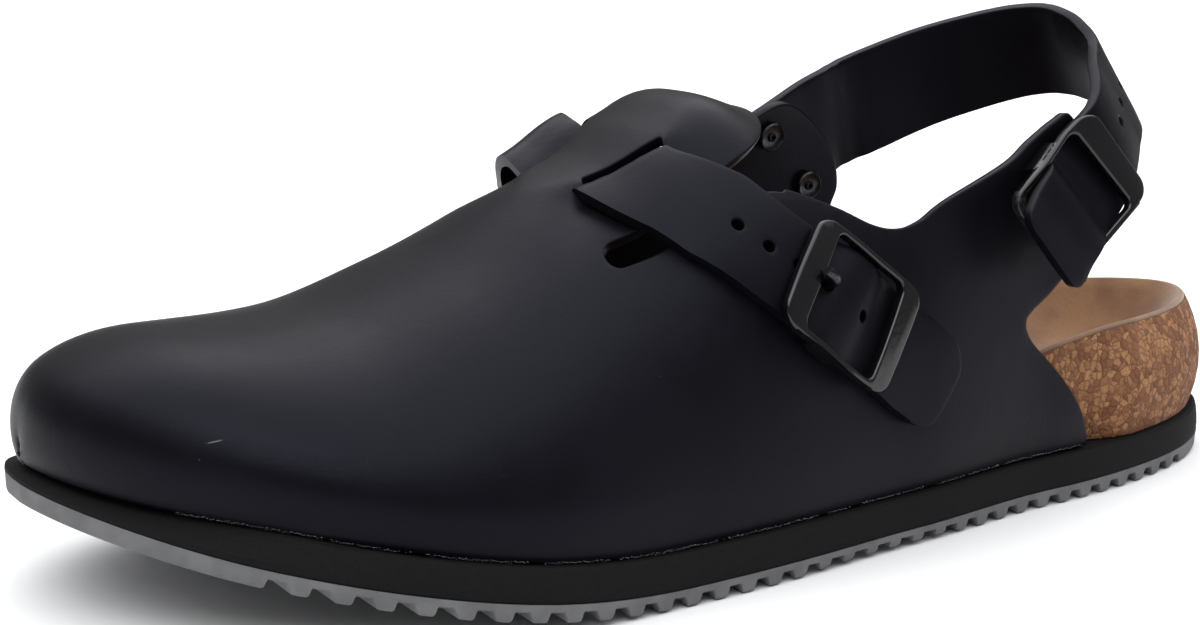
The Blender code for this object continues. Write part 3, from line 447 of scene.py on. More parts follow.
def angle_at_side(along, side):
    """Angle on the last at a sideways place given in metres."""
    along = np.asarray(along, float)
    side = np.asarray(side, float)
    centre, half = upper_plan(along)
    power = smooth(RIDGE, 2, along / LENGTH)
    across = np.clip((side - centre) / half, -0.999, 0.999)
    for _ in range(6):
        up = (1 - np.abs(across) ** power) ** (1 / power)
        shift = BALL_WIDTH * smooth(RIDGE_SHIFT, 1, along / LENGTH) * up
        across = np.clip((side - centre - shift) / half, -0.999, 0.999)
    return np.arctan2((1 - np.abs(across) ** power) ** (1 / power), across)


def tip_lowered(points):
    """Points of the upper, whose foot comes down over the thinner midsole at the very tip of the toe."""
    along = LENGTH / 2 - points[:, 0]
    up = points[:, 2] - sole_top(along)
    points[:, 2] -= TIP_DROP * ease(along / LENGTH, *TIP_REACH) * ease(up, *TIP_FADE)
    return points


def tip_pulled(points):
    """Points of the sole, whose very tip is drawn back until it is level with the leather's."""
    points[..., 0] += TIP_PULL * ease(0.5 - points[..., 0] / LENGTH, *PULL_REACH)
    return points


# %% [markdown]
# ## Cutting leather flat
# A shoemaker cuts leather flat and then pulls it over the last. The script does the same. An outline
# becomes a flat slab, holes are taken out with Boolean cutters, and a Bevel rounds the cut edges a
# little, as a knife and wear do. The slab is then divided into small cells, so that it can bend, and
# each point goes to its place on the last. The faces keep a number that says whether they were the
# grain side, the flesh side or the cut edge, which gives each its own leather finish.

# %% Outlines
def rounded_box(low, high, radius, steps=8):
    """Outline of a rectangle with round corners."""
    outline = []
    for k, (x, y) in enumerate(((high[0], high[1]), (low[0], high[1]), (low[0], low[1]), (high[0], low[1]))):
        middle = (x - radius if x == high[0] else x + radius, y - radius if y == high[1] else y + radius)
        for j in range(steps + 1):
            turn = math.pi / 2 * (k + j / steps)
            outline.append((middle[0] + radius * math.cos(turn), middle[1] + radius * math.sin(turn)))
    return outline


def circle(x, y, radius, count=12):
    """Outline of a round hole."""
    return [(x + radius * math.cos(2 * math.pi * k / count), y + radius * math.sin(2 * math.pi * k / count))
            for k in range(count)]


def dense(outline, step):
    """The same closed outline with points no further apart than a step."""
    made = []
    for k, point in enumerate(outline):
        following = outline[(k + 1) % len(outline)]
        parts = max(1, math.ceil(math.hypot(following[0] - point[0], following[1] - point[1]) / step))
        for j in range(parts):
            made.append((point[0] + (following[0] - point[0]) * j / parts,
                         point[1] + (following[1] - point[1]) * j / parts))
    return made


# %% Slabs, cutters and cells
CUTTER_REACH = 0.002
FLAT_ANGLE = 0.01
CELL_SHIFT = 0.00013
CELL_SNAP = 0.000001
FLAT_FACE = 0.9
PATTERN_SCALE = 10


def slab(name, outline, low, high):
    """Flat solid with an outline, from a low to a high level, made as a filled curve."""
    curve = bpy.data.curves.new(name, "CURVE")
    curve.dimensions = "2D"
    curve.fill_mode = "BOTH"
    curve.extrude = (high - low) / 2
    spline = curve.splines.new("POLY")
    spline.points.add(len(outline) - 1)
    for point, (x, y) in zip(spline.points, outline):
        point.co = (x, y, 0, 1)
    spline.use_cyclic_u = True
    flat = in_scene(name, curve)
    mesh = result(flat)
    bpy.data.objects.remove(flat)
    work = bmesh.new()
    work.from_mesh(mesh)
    bmesh.ops.remove_doubles(work, verts=work.verts, dist=WELD)
    level = [edge for edge in work.edges
             if len(edge.link_faces) == 2 and edge.calc_face_angle(1.0) < FLAT_ANGLE]
    bmesh.ops.dissolve_limit(work, angle_limit=FLAT_ANGLE, verts=[], edges=level)
    bmesh.ops.translate(work, verts=work.verts, vec=(0, 0, (low + high) / 2))
    bmesh.ops.recalc_face_normals(work, faces=work.faces)
    work.to_mesh(mesh)
    work.free()
    return in_scene(name, mesh)


def cut_slab(name, outline, low, high, cuts, rounding, segments=3):
    """Slab with outlines cut out of it and its edges rounded."""
    made = slab(name, outline, low, high)
    cutters = []
    for number, hole in enumerate(cuts):
        cutter = slab(f"{name}_cutter_{number}", hole, low - CUTTER_REACH, high + CUTTER_REACH)
        step = made.modifiers.new(cutter.name, "BOOLEAN")
        step.operation = "DIFFERENCE"
        step.object = cutter
        cutters.append(cutter)
    bevel = made.modifiers.new("rounding", "BEVEL")
    bevel.width = rounding
    bevel.segments = segments
    bevel.limit_method = "ANGLE"
    bevel.angle_limit = math.radians(60)
    bevel.use_clamp_overlap = False
    made.data = result(made)
    made.modifiers.clear()
    for cutter in cutters:
        bpy.data.objects.remove(cutter)
    return made


def divide(work, cell):
    """Cuts a flat mesh along straight lines a cell apart, both ways."""
    for axis in (0, 1):
        values = [vertex.co[axis] for vertex in work.verts]
        count = int((max(values) - min(values)) / cell)
        across = (1, 0, 0) if axis == 0 else (0, 1, 0)
        for k in range(1, count + 1):
            spot = [0.0, 0.0, 0.0]
            spot[axis] = min(values) + k * cell + CELL_SHIFT
            bmesh.ops.bisect_plane(work, geom=work.verts[:] + work.edges[:] + work.faces[:],
                                   dist=CELL_SNAP, plane_co=spot, plane_no=across)


def bend(made, cell, shape, finishes):
    """Divides a flat slab, gives its sides their finishes and moves its points where shape puts them.

    The finishes are those of the grain side, of the cut edge and of the flesh side.
    """
    work = bmesh.new()
    work.from_mesh(made.data)
    divide(work, cell)
    work.normal_update()
    flat = work.loops.layers.uv.new("pattern")
    for face in work.faces:
        face.material_index = 0 if face.normal.z > FLAT_FACE else 2 if face.normal.z < -FLAT_FACE else 1
        face.smooth = True
        for corner in face.loops:
            corner[flat].uv = corner.vert.co.xy * PATTERN_SCALE
    places = np.array([vertex.co for vertex in work.verts])
    for vertex, point in zip(work.verts, shape(places[:, 0], places[:, 1], places[:, 2])):
        vertex.co = Vector(point)
    bmesh.ops.triangulate(work, faces=[face for face in work.faces if len(face.verts) > 4])
    bmesh.ops.recalc_face_normals(work, faces=work.faces)
    work.to_mesh(made.data)
    work.free()
    made.data.materials.clear()
    for finish in finishes:
        made.data.materials.append(finish)
    made.data.set_sharp_from_angle(angle=math.radians(40))
    print(f"{made.name}: {len(made.data.polygons)} faces")
    return made


# %% [markdown]
# ## Leather
# The upper and straps are smooth cowhide with a thin black coat: it shows a fine grain of pores about
# half a millimetre apart, and a broad soft shine. The flesh side is undyed split, fibrous and dull.
# The cut edge shows the leather's grey-green core, a little rough from the knife. The grain here is
# drawn a little coarser than the real one, so that it shows in the picture.

# %% Black coated cowhide
PORE = 0.9 * MM
CREASE = 14 * MM
SCUFF_PLACE = (-0.1144, -0.0267, 0.0369)
SCUFF_SIZE = (2.2 * MM, 1.5 * MM, 0.16 * MM)
SCUFF_TURN = (0.0, math.radians(-12), math.radians(-35))


def coated_cowhide():
    """Smooth black leather with pores, faint undulation, dust and a small scuff."""
    made, tree, shader = surface("black_coated_cowhide", 0.42, IOR=1.45, Specular_IOR_Level=0.13,
                                 Specular_Tint=linear("#E2E2FF"))
    spot = add(tree, "ShaderNodeTexCoord").outputs["Object"]
    patch = add(tree, "ShaderNodeTexNoise", {"Vector": spot, "Scale": 1 / (30 * MM),
                                             "Detail": 3.0}).outputs["Fac"]
    colour = mixed(tree, ramp(tree, patch, 0.3, 0.7), "#060609", "#0A0A0E")
    dust = add(tree, "ShaderNodeTexNoise", {"Vector": spot, "Scale": 1 / (0.7 * MM),
                                            "Detail": 1.0}).outputs["Fac"]
    colour = mixed(tree, ramp(tree, dust, 0.77, 0.82, 0.0, 0.05), colour, "#8C8C90")
    near = add(tree, "ShaderNodeMapping", {"Vector": spot, "Location": SCUFF_PLACE, "Rotation": SCUFF_TURN,
                                           "Scale": SCUFF_SIZE}, vector_type="TEXTURE").outputs[0]
    reach = add(tree, "ShaderNodeVectorMath", {0: near}, operation="LENGTH").outputs["Value"]
    scuff = sums(tree, "MULTIPLY", ramp(tree, reach, 1.0, 0.3), ramp(tree, dust, 0.45, 0.55, 0.2, 0.8))
    colour = mixed(tree, scuff, colour, "#636368")
    tree.links.new(colour, shader.inputs["Base Color"])
    pores = add(tree, "ShaderNodeTexVoronoi", {"Vector": spot, "Scale": 1 / PORE},
                feature="F1").outputs["Distance"]
    fine = add(tree, "ShaderNodeTexNoise", {"Vector": spot, "Scale": 1 / (0.35 * MM),
                                            "Detail": 2.0}).outputs["Fac"]
    wave = add(tree, "ShaderNodeTexNoise", {"Vector": spot, "Scale": 1 / CREASE,
                                            "Detail": 2.0}).outputs["Fac"]
    dull = sums(tree, "ADD", ramp(tree, patch, 0.3, 0.7, 0.37, 0.45),
                ramp(tree, fine, 0.3, 0.7, -0.03, 0.03))
    tree.links.new(dull, shader.inputs["Roughness"])
    broad = add(tree, "ShaderNodeBump", {"Height": wave, "Strength": 0.35, "Distance": 0.5 * MM})
    grain = add(tree, "ShaderNodeBump", {"Height": pores, "Strength": 0.30, "Distance": 0.05 * MM,
                                         "Normal": broad.outputs[0]})
    last = add(tree, "ShaderNodeBump", {"Height": fine, "Strength": 0.25, "Distance": 0.03 * MM,
                                        "Normal": grain.outputs[0]})
    tree.links.new(last.outputs[0], shader.inputs["Normal"])
    return made


grain_side = coated_cowhide()
print("made", grain_side.name)

# %% Flesh side and cut edge


def leather_split():
    """Flesh side: dull olive fibres with a soft sheen."""
    made, tree, shader = surface("olive_leather_split", 0.95, Sheen_Weight=0.35, Sheen_Roughness=0.5)
    spot = add(tree, "ShaderNodeTexCoord").outputs["Object"]
    drawn = add(tree, "ShaderNodeMapping", {"Vector": spot, "Scale": (1.0, 1.0, 2.6)}).outputs[0]
    fibre = add(tree, "ShaderNodeTexNoise", {"Vector": drawn, "Scale": 1 / (1.1 * MM), "Detail": 5.0,
                                             "Roughness": 0.7, "Distortion": 1.2}).outputs["Fac"]
    patch = add(tree, "ShaderNodeTexNoise", {"Vector": spot, "Scale": 1 / (9 * MM),
                                             "Detail": 3.0}).outputs["Fac"]
    colour = mixed(tree, ramp(tree, fibre, 0.35, 0.68), "#0F100D", "#38392F")
    colour = mixed(tree, ramp(tree, patch, 0.40, 0.75, 0.0, 0.55), colour, "#2A2C24")
    tree.links.new(colour, shader.inputs["Base Color"])
    rough = add(tree, "ShaderNodeBump", {"Height": fibre, "Strength": 0.8, "Distance": 0.35 * MM})
    tree.links.new(rough.outputs[0], shader.inputs["Normal"])
    return made


def cut_leather():
    """Cut edge: the grey-green core, mottled and a little rough."""
    made, tree, shader = surface("cut_leather_edge", 0.80, Specular_IOR_Level=0.25)
    spot = add(tree, "ShaderNodeTexCoord").outputs["Object"]
    layer = add(tree, "ShaderNodeTexNoise", {"Vector": spot, "Scale": 1 / (0.8 * MM),
                                             "Detail": 4.0}).outputs["Fac"]
    patch = add(tree, "ShaderNodeTexNoise", {"Vector": spot, "Scale": 1 / (6 * MM),
                                             "Detail": 2.0}).outputs["Fac"]
    colour = mixed(tree, ramp(tree, layer, 0.35, 0.65), "#4A5150", "#6B7371")
    colour = mixed(tree, ramp(tree, patch, 0.45, 0.70, 0.0, 0.7), colour, "#3A3F3F")
    tree.links.new(colour, shader.inputs["Base Color"])
    rough = add(tree, "ShaderNodeBump", {"Height": layer, "Strength": 0.6, "Distance": 0.15 * MM})
    tree.links.new(rough.outputs[0], shader.inputs["Normal"])
    return made


def blackened_edge():
    """Cut edge that was inked black, as on the upper."""
    made, tree, shader = surface("inked_leather_edge", 0.62)
    spot = add(tree, "ShaderNodeTexCoord").outputs["Object"]
    layer = add(tree, "ShaderNodeTexNoise", {"Vector": spot, "Scale": 1 / (0.9 * MM),
                                             "Detail": 4.0}).outputs["Fac"]
    colour = mixed(tree, ramp(tree, layer, 0.35, 0.7), "#0B0B0E", "#1C1D20")
    tree.links.new(colour, shader.inputs["Base Color"])
    rough = add(tree, "ShaderNodeBump", {"Height": layer, "Strength": 0.4, "Distance": 0.1 * MM})
    tree.links.new(rough.outputs[0], shader.inputs["Normal"])
    return made


flesh_side = leather_split()
cut_edge = cut_leather()
inked_edge = blackened_edge()
print("made", flesh_side.name, cut_edge.name, inked_edge.name)

# %% [markdown]
# ## The upper
# The whole upper is one piece of leather: vamp, tongue with a bridge for the strap, and two quarters
# with ears. Its outline is cut from the flat pattern, with a slot on each side of the bridge and a slit
# on each side of the tongue, and the ear on the inner side has two holes for rivets.

# %% Pattern of the upper
PATTERN_CELL = 1.5 * MM
EDGE_SPANS = 14
EDGE_ROUNDING = 0.35 * MM
SLIT_ROUND = 0.98
HOLE_STEP = 0.8 * MM
SLOT_SLACK = -1.4 * MM

# Share of length, height over the sole as a share of instep height
OUTER_QUARTER = (
    (0.207, -0.10),
    (0.207, 0.00),
    (0.220, 0.10),
    (0.238, 0.19),
    (0.260, 0.27),
    (0.281, 0.34),
    (0.288, 0.39),
    (0.281, 0.42),
    (0.262, 0.46),
    (0.244, 0.52),
    (0.231, 0.64),
    (0.228, 0.76),
    (0.232, 0.87),
    (0.244, 0.935),
    (0.258, 0.920),
    (0.283, 0.873),
    (0.308, 0.822),
    (0.367, 0.745),
    (0.392, 0.700),
    (0.412, 0.685),
    (0.432, 0.700),
    (0.460, 0.750),
    (0.495, 0.795),
    (0.535, 0.812),
)
INNER_QUARTER = OUTER_QUARTER[:8] + (
    (0.276, 0.47),
    (0.298, 0.57),
    (0.292, 0.66),
    (0.299, 0.755),
    (0.322, 0.855),
    (0.353, 0.920),
    (0.382, 0.900),
    (0.408, 0.850),
    (0.440, 0.790),
    (0.495, 0.795),
    (0.535, 0.812),
)


# Width of the flat pattern, from the outer foot over the ridge to the inner foot
PATTERN_GIRTH = 1.36 * BALL_WIDTH


def on_pattern(along, angle):
    """Flat pattern point of a place on the last."""
    return float(along), float(angle) / math.pi * PATTERN_GIRTH


def quarter_edge(rows, outer):
    """Pattern points along the edge of a quarter, from its rear foot to the slit."""
    points = []
    for share, height in through(rows, EDGE_SPANS):
        points.append(on_pattern(share * LENGTH, angle_at_height(share * LENGTH, height, outer)))
    return points


def tongue_edge():
    """Pattern points around the tongue's round end, from its outer to its inner side."""
    middle = BALL_WIDTH * TONGUE_MIDDLE
    half = BALL_WIDTH * SLIT_REAR[1] - SLIT_WIDTH / 2 - middle
    points = []
    for k in range(TONGUE_STEPS + 1):
        turn = math.pi * k / TONGUE_STEPS
        along = LENGTH * (TONGUE_ROOT - (TONGUE_ROOT - TONGUE_TIP) * math.sin(turn) ** TONGUE_FULLNESS)
        points.append(on_pattern(along, angle_at_side(along, middle + half * math.cos(turn))))
    return points


def slot_outline(start, end, reach, width, radius, outer):
    """Pattern outline of a slot with round corners, which runs a reach past two (along, side) places."""
    if not outer:
        mirror = 2 * BALL_WIDTH * TONGUE_MIDDLE
        start = (start[0], mirror - start[1])
        end = (end[0], mirror - end[1])
    turn = math.atan2(end[1] - start[1], end[0] - start[0])
    length = math.hypot(end[0] - start[0], end[1] - start[1])
    outline = []
    for x, y in rounded_box((-reach, -width / 2), (length + reach, width / 2), radius):
        along = start[0] + x * math.cos(turn) - y * math.sin(turn)
        side = start[1] + x * math.sin(turn) + y * math.cos(turn)
        outline.append(on_pattern(along, angle_at_side(along, side)))
    return outline


# %% [markdown]
# ## Routes of the straps
# A strap is a flat band too. The instep strap's middle line runs over the last's surface, through the
# two slots. The heel strap's middle line is a curve in space around the heel, with a lean at each
# place. Each strap's points are then laid along its line.

# %% Sizes of the straps and buckles
STRAP_WIDTH = 0.0196
STRAP = 0.0028
HOLE_PITCH = 0.0066
HEEL_PITCH = 0.0080
FRAME_LENGTH = 0.0270
FRAME_SIDE = 0.0013
FRAME_BAR = 0.0028
FRAME_FRONT_BAR = 0.0052
FRAME_THICK = 0.0024
PIN = 0.0022
RIVET = 0.0066
RIVET_HEAD = 0.0012
RIVET_SHANK = 0.0030
RIVET_INSET = 0.0090
RIVET_SPREAD = 0.0136
RIVET_SKEW = 0.0026
HOLE_PLAY = 0.0004
INSTEP_TIP = 0.0075
HEEL_TIP = 0.0030
SEWN_TIP = 0.0008
TAIL_SPRING = 0.0140
HEEL_REACH = 0.0168
HEEL_HOLE = 0.0150
STRAP_LIFT = 0.0006
BAR_RISE = 0.0022
BULGE_START = 0.385
BULGE_END = 0.05
BUCKLE_REACH = 0.0345
FRAME_LIFT = STRAP_LIFT + STRAP + 2 * GAP

# Share of length, height over the sole as a share of instep height
INSTEP_OUTER = ((0.385, 0.250), (0.432, 0.385), (0.480, 0.520), (0.534, 0.672), (0.572, 0.780))
INSTEP_INNER = ((0.572, 0.780), (0.534, 0.672), (0.494, 0.500), (0.472, 0.290), (0.465, 0.050))

# Share of length, sideways place as a share of heel width, height over the sole as a share of instep
# height, lean in degrees and width as a share of the strap's
HEEL_ROUTE = (
    (0.3050, 0.528, 0.590, 6.0, 1.00),
    (0.2590, 0.520, 0.722, 11.0, 1.00),
    (0.2173, 0.494, 0.842, 20.0, 1.01),
    (0.1820, 0.359, 0.927, 29.0, 1.05),
    (0.1512, 0.183, 0.991, 31.0, 1.07),
    (0.1520, -0.083, 1.053, 24.0, 1.12),
    (0.2032, -0.326, 0.986, 16.0, 1.18),
    (0.2650, -0.452, 0.888, 10.0, 1.24),
    (0.3040, -0.454, 0.832, 7.5, 1.26),
    (0.3452, -0.450, 0.758, 8.5, 1.26),
    (0.3746, -0.455, 0.702, 10.0, 1.26),
)

# %% Routes
def measured(rows, points):
    """Every second row, with the distance along the points put before it."""
    distance = np.concatenate([[0], np.cumsum(np.linalg.norm(np.diff(points, axis=0), axis=1))])
    return [(distance[k], *rows[k]) for k in range(0, len(rows), 2)]


def instep_route():
    """Rows of (distance, place along the shoe, angle on the last) down the middle of the instep strap."""
    places = [(share * LENGTH, float(angle_at_height(share * LENGTH, height)))
              for share, height in INSTEP_OUTER]
    slot = (SLOT_FRONT[0] + SLOT_REAR[0]) / 2 * LENGTH
    outer, inner = slot_sides(slot)
    places += [(slot, float(angle_at_side(slot, outer))), (slot, float(angle_at_side(slot, inner)))]
    places += [(share * LENGTH, float(angle_at_height(share * LENGTH, height, False)))
               for share, height in INSTEP_INNER]
    fine = np.array(through(places, 12))
    return measured(fine, last_surface(fine[:, 0], fine[:, 1], False))


def instep_point(route, forward, across, height):
    """Point on the instep strap: a distance along it, a place across it and a height over the upper."""
    along = smooth(route, 1, forward)
    angle = smooth(route, 2, forward)
    step = 0.001
    here = last_surface(along, angle, False)
    ahead = last_surface(smooth(route, 1, forward + step), smooth(route, 2, forward + step), False)
    back = last_surface(smooth(route, 1, forward - step), smooth(route, 2, forward - step), False)
    by_along = (last_surface(along + step, angle, False) - here) / step
    by_angle = (last_surface(along, angle + 0.01, False) - here) / 0.01
    run = ahead - back
    run = run / np.linalg.norm(run, axis=-1, keepdims=True)
    normal = np.cross(by_angle, by_along)
    normal = normal / np.linalg.norm(normal, axis=-1, keepdims=True)
    sideways = np.cross(run, normal)
    aa = (by_along * by_along).sum(-1)
    ab = (by_along * by_angle).sum(-1)
    bb = (by_angle * by_angle).sum(-1)
    sa = (sideways * by_along).sum(-1)
    sb = (sideways * by_angle).sum(-1)
    det = aa * bb - ab * ab
    moved_along = along + across * (sa * bb - sb * ab) / det
    moved_angle = np.clip(angle + across * (sb * aa - sa * ab) / det, 0.0, math.pi)
    return last_point(moved_along, moved_angle, height, False)


def over_bar(forward, centre):
    """Extra height of a strap over the buckle's middle bar: a smooth bulge that fills the window."""
    return BAR_RISE * ease(np.abs(forward - centre), BULGE_START * FRAME_LENGTH, BULGE_END * FRAME_LENGTH)


ARCH = 3.2 * MM
ARCH_ROOM = 0.1 * MM
ARCH_RISE = (-0.5 * MM, 5 * MM)
ARCH_FALL = (17 * MM, 7 * MM)
DIVE_START = 0.4 * MM
DIVE_END = 3.0 * MM


def instep_lift(route):
    """Height of the instep strap's underside over the last: under the bridge, and in an arch beside it."""
    under = BRIDGE_RAISE - WALL - ARCH_ROOM - STRAP

    def lift(forward, across):
        """Height at distances along the strap and places across it."""
        points = instep_point(route, forward, across, np.zeros(len(forward)))
        along = LENGTH / 2 - points[:, 0]
        side = MIDDLE - points[:, 1]
        outer, inner = slot_sides(along)
        dive = ease(side, outer + DIVE_START, outer - DIVE_END)
        dive = dive * ease(side, inner - DIVE_START, inner + DIVE_END)
        beside = inner - side
        arch = ARCH * ease(beside, *ARCH_RISE) * ease(beside, *ARCH_FALL)
        return STRAP_LIFT + over_bar(forward, BUCKLE_REACH) + (under - STRAP_LIFT) * dive + arch

    return lift


def heel_route():
    """Rows of (distance, world point, lean, width share) down the middle of the heel strap's inner face."""
    base = sole_top(0.3 * LENGTH)
    points = []
    for share, side, height, lean, width in HEEL_ROUTE:
        point = place(share * LENGTH, side * HEEL_WIDTH, base + height * INSTEP_HEIGHT)
        points.append((*point, lean, width))
    fine = np.array(through(points, 8))
    return measured(fine, fine[:, :3])


def heel_point(route, forward, across, height):
    """Point on the heel strap, from a distance along it, a place across it and a height outward."""
    def middle(distance):
        """Points of the route's middle line."""
        return np.stack([smooth(route, column, distance) for column in (1, 2, 3)], axis=-1)

    step = 0.001
    run = middle(forward + step) - middle(forward - step)
    run = run / np.linalg.norm(run, axis=-1, keepdims=True)
    level = np.stack([run[:, 1], -run[:, 0], np.zeros(len(run))], axis=-1)
    level = level / np.linalg.norm(level, axis=-1, keepdims=True)
    lean = np.radians(smooth(route, 4, forward))[:, None]
    upward = np.cross(run, level)
    upward = upward * np.sign(upward[:, 2:3])
    normal = level * np.cos(lean) + upward * np.sin(lean)
    width = np.cross(run, normal)
    width = width * np.sign(width[:, 2:3]) * smooth(route, 5, forward)[:, None]
    return middle(forward) + width * np.asarray(across)[:, None] + normal * np.asarray(height)[:, None]


def ear_place(route, forward, across):
    """Distance along the shoe and height over the upper's base of a place on the heel strap."""
    x, _, z = heel_point(route, np.array([forward]), np.array([across]), np.array([0.0]))[0]
    along = LENGTH / 2 - x
    return along, z - float(sole_top(along)) - GAP


def rivet_places(route):
    """Place along and across the heel strap of each rivet, with its part's name."""
    forward = route[-1][0] - RIVET_INSET
    return (("rivet_upper", forward + RIVET_SKEW, RIVET_SPREAD / 2),
            ("rivet_lower", forward - RIVET_SKEW, -RIVET_SPREAD / 2))


def rivet_holes(route):
    """Pattern outlines of the holes for the rivets in the inner ear."""
    outlines = []
    for _, forward, across in rivet_places(route):
        ring = circle(*ear_place(route, forward, across), RIVET_SHANK / 2 + HOLE_PLAY)
        outlines.append([on_pattern(x, angle_at_height(x, up / INSTEP_HEIGHT, False)) for x, up in ring])
    return outlines


# %% Make the upper


def upper_outline():
    """Closed outline of the whole upper on the pattern."""
    end = LENGTH - TOE_LIP - TOE_DEPTH + TOE_DEPTH * ROLL_END
    outer = [point for point in quarter_edge(OUTER_QUARTER, True) if point[1] > 0]
    inner = [point for point in quarter_edge(INNER_QUARTER, False) if point[1] < PATTERN_GIRTH]
    collar = outer + tongue_edge() + inner[::-1]
    feet = [(inner[0][0], PATTERN_GIRTH), (end, PATTERN_GIRTH), (end, 0.0), (outer[0][0], 0.0)]
    return collar + feet


def make_upper():
    """The upper, cut flat with its slots, slits and rivet holes, and then lasted."""
    outline = upper_outline()
    slit = [(share * LENGTH, side * BALL_WIDTH) for share, side in (SLIT_FRONT, SLIT_REAR)]
    slot = [(share * LENGTH, side * BALL_WIDTH) for share, side in (SLOT_FRONT, SLOT_REAR)]
    half = SLIT_WIDTH / 2
    cuts = [slot_outline(*slot, SLOT_SLACK, SLOT_WIDTH, SLOT_CORNER, side) for side in (True, False)]
    cuts += [slot_outline(*slit, half, SLIT_WIDTH, SLIT_ROUND * half, side) for side in (True, False)]
    cuts += rivet_holes(heel_route())
    cuts = [dense(cut, HOLE_STEP) for cut in cuts]
    made = cut_slab("leather_upper", outline, -WALL, 0.0, cuts, EDGE_ROUNDING)

    def lasted(x, y, z):
        """Points of the upper for places on the flat slab."""
        return tip_lowered(last_point(x, y / PATTERN_GIRTH * math.pi, z))

    return bend(made, PATTERN_CELL, lasted, (grain_side, inked_edge, flesh_side))


upper = make_upper()
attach(upper, "root")
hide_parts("upper")

# %% [markdown]
# ## The straps
# Both straps are cut from the same leather, with rounded tips, a row of punched holes and a slightly
# domed grain side. The instep strap's edges are inked black. The heel strap shows its flesh side
# inside the loop, and grey-green cut edges all around.

# %% Make the straps
STRAP_CELL = 1.3 * MM
CROWN = 0.35 * MM


def make_strap(name, length, ends, holes, point, lift, edge):
    """Strap cut flat with its holes and then laid along its route. Each hole is (x, y, diameter)."""
    cuts = [circle(x, y, size / 2, 20) for x, y, size in holes]
    outline = dense(strap_outline(length, *ends), 2 * MM)
    made = cut_slab(name, outline, 0.0, STRAP, cuts, EDGE_ROUNDING)

    def laid(x, y, z):
        """Points of the strap for places on the flat slab."""
        share = np.abs(y) / (STRAP_WIDTH / 2)
        dome = CROWN * share ** 3 * z / STRAP
        return point(x, y, lift(x, y) + z - dome)

    bend(made, STRAP_CELL, laid, (grain_side, edge, flesh_side))
    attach(made, "root")
    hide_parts(name.replace("leather_", ""))
    return made


def strap_outline(length, round_start, round_end):
    """Flat outline of a strap along X with round corners of two radii."""
    half = STRAP_WIDTH / 2
    outline = []
    corners = ((length - round_end, half - round_end, 0, round_end),
               (round_start, half - round_start, 1, round_start),
               (round_start, round_start - half, 2, round_start),
               (length - round_end, round_end - half, 3, round_end))
    for x, y, quarter, radius in corners:
        for k in range(13):
            turn = math.pi / 2 * (quarter + k / 12)
            outline.append((x + radius * math.cos(turn), y + radius * math.sin(turn)))
    return outline


# %% Lay the instep strap
PIN_REACH = 0.0058
TIP_SHARE = 0.78
instep_line = instep_route()
PUNCHED = 2.3 * MM
instep_holes = [(BUCKLE_REACH + PIN_REACH + HOLE_PITCH * k, 0, PUNCHED) for k in (-1.5, 0, 1, 2, 3)]


def on_instep(forward, across, height):
    """Point on the instep strap's route."""
    return instep_point(instep_line, forward, across, height)


make_strap("leather_instep_strap", instep_line[-1][0], (TIP_SHARE * INSTEP_TIP, SEWN_TIP),
           instep_holes, on_instep, instep_lift(instep_line), inked_edge)

# %% Lay the heel strap
SNUG = 0.05
SNUG_REACH = (16 * MM, 9 * MM)
TAIL_START = 0.5 * MM
heel_line = heel_route()
heel_holes = [(HEEL_REACH + HEEL_HOLE + HEEL_PITCH * k, 0, PUNCHED) for k in range(4)]
heel_holes += [(forward, across, RIVET_SHANK + 2 * HOLE_PLAY)
               for _, forward, across in rivet_places(heel_line)]


def on_heel(forward, across, height):
    """Point on the heel strap's route."""
    return heel_point(heel_line, forward, across, height)


def on_heel_snug(forward, across, height):
    """The same, with the strap a little wider where it fills the buckle."""
    wider = SNUG * ease(forward - HEEL_REACH, *SNUG_REACH)
    return on_heel(forward, across * (1 + wider), height)


def heel_lift(forward, across):
    """Height of the heel strap's underside over its route: it springs away at its tail."""
    tail = np.clip(HEEL_REACH + TAIL_START - forward, 0, None)
    spring = TAIL_SPRING * (1 - np.exp(-tail / TAIL_SPRING))
    return STRAP_LIFT + over_bar(forward, HEEL_REACH) + spring


make_strap("leather_heel_strap", heel_line[-1][0], (HEEL_TIP, SEWN_TIP), heel_holes, on_heel_snug,
           heel_lift, cut_edge)

# %% [markdown]
# ## Buckles
# The buckles are moulded in black ABS. A moulded frame has round edges and a high gloss, but the heel
# buckle's wide bar, where fingers rub, is duller and speckled with fine scratches. A number on each
# point, 1 on that bar and 0 elsewhere, tells the material where that is.

# %% Moulded black plastic


def moulded_abs():
    """Black ABS: glossy, with a duller, speckled wide bar."""
    made, tree, shader = surface("moulded_black_abs", 0.16, IOR=1.50)
    spot = add(tree, "ShaderNodeTexCoord").outputs["Object"]
    wide = add(tree, "ShaderNodeAttribute", attribute_name="wide_bar").outputs["Fac"]
    speck = add(tree, "ShaderNodeTexNoise", {"Vector": spot, "Scale": 1 / (0.8 * MM),
                                             "Detail": 3.0}).outputs["Fac"]
    rubbed = sums(tree, "MULTIPLY", wide, ramp(tree, speck, 0.40, 0.62))
    tree.links.new(mixed(tree, rubbed, "#08080A", "#242527"), shader.inputs["Base Color"])
    dull = sums(tree, "ADD", sums(tree, "MULTIPLY", wide, 0.26), ramp(tree, speck, 0.3, 0.7, 0.10, 0.20))
    tree.links.new(dull, shader.inputs["Roughness"])
    scratched = sums(tree, "MULTIPLY", speck, wide)
    rough = add(tree, "ShaderNodeBump", {"Height": scratched, "Strength": 0.4, "Distance": 0.12 * MM})
    tree.links.new(rough.outputs[0], shader.inputs["Normal"])
    return made


plastic = moulded_abs()

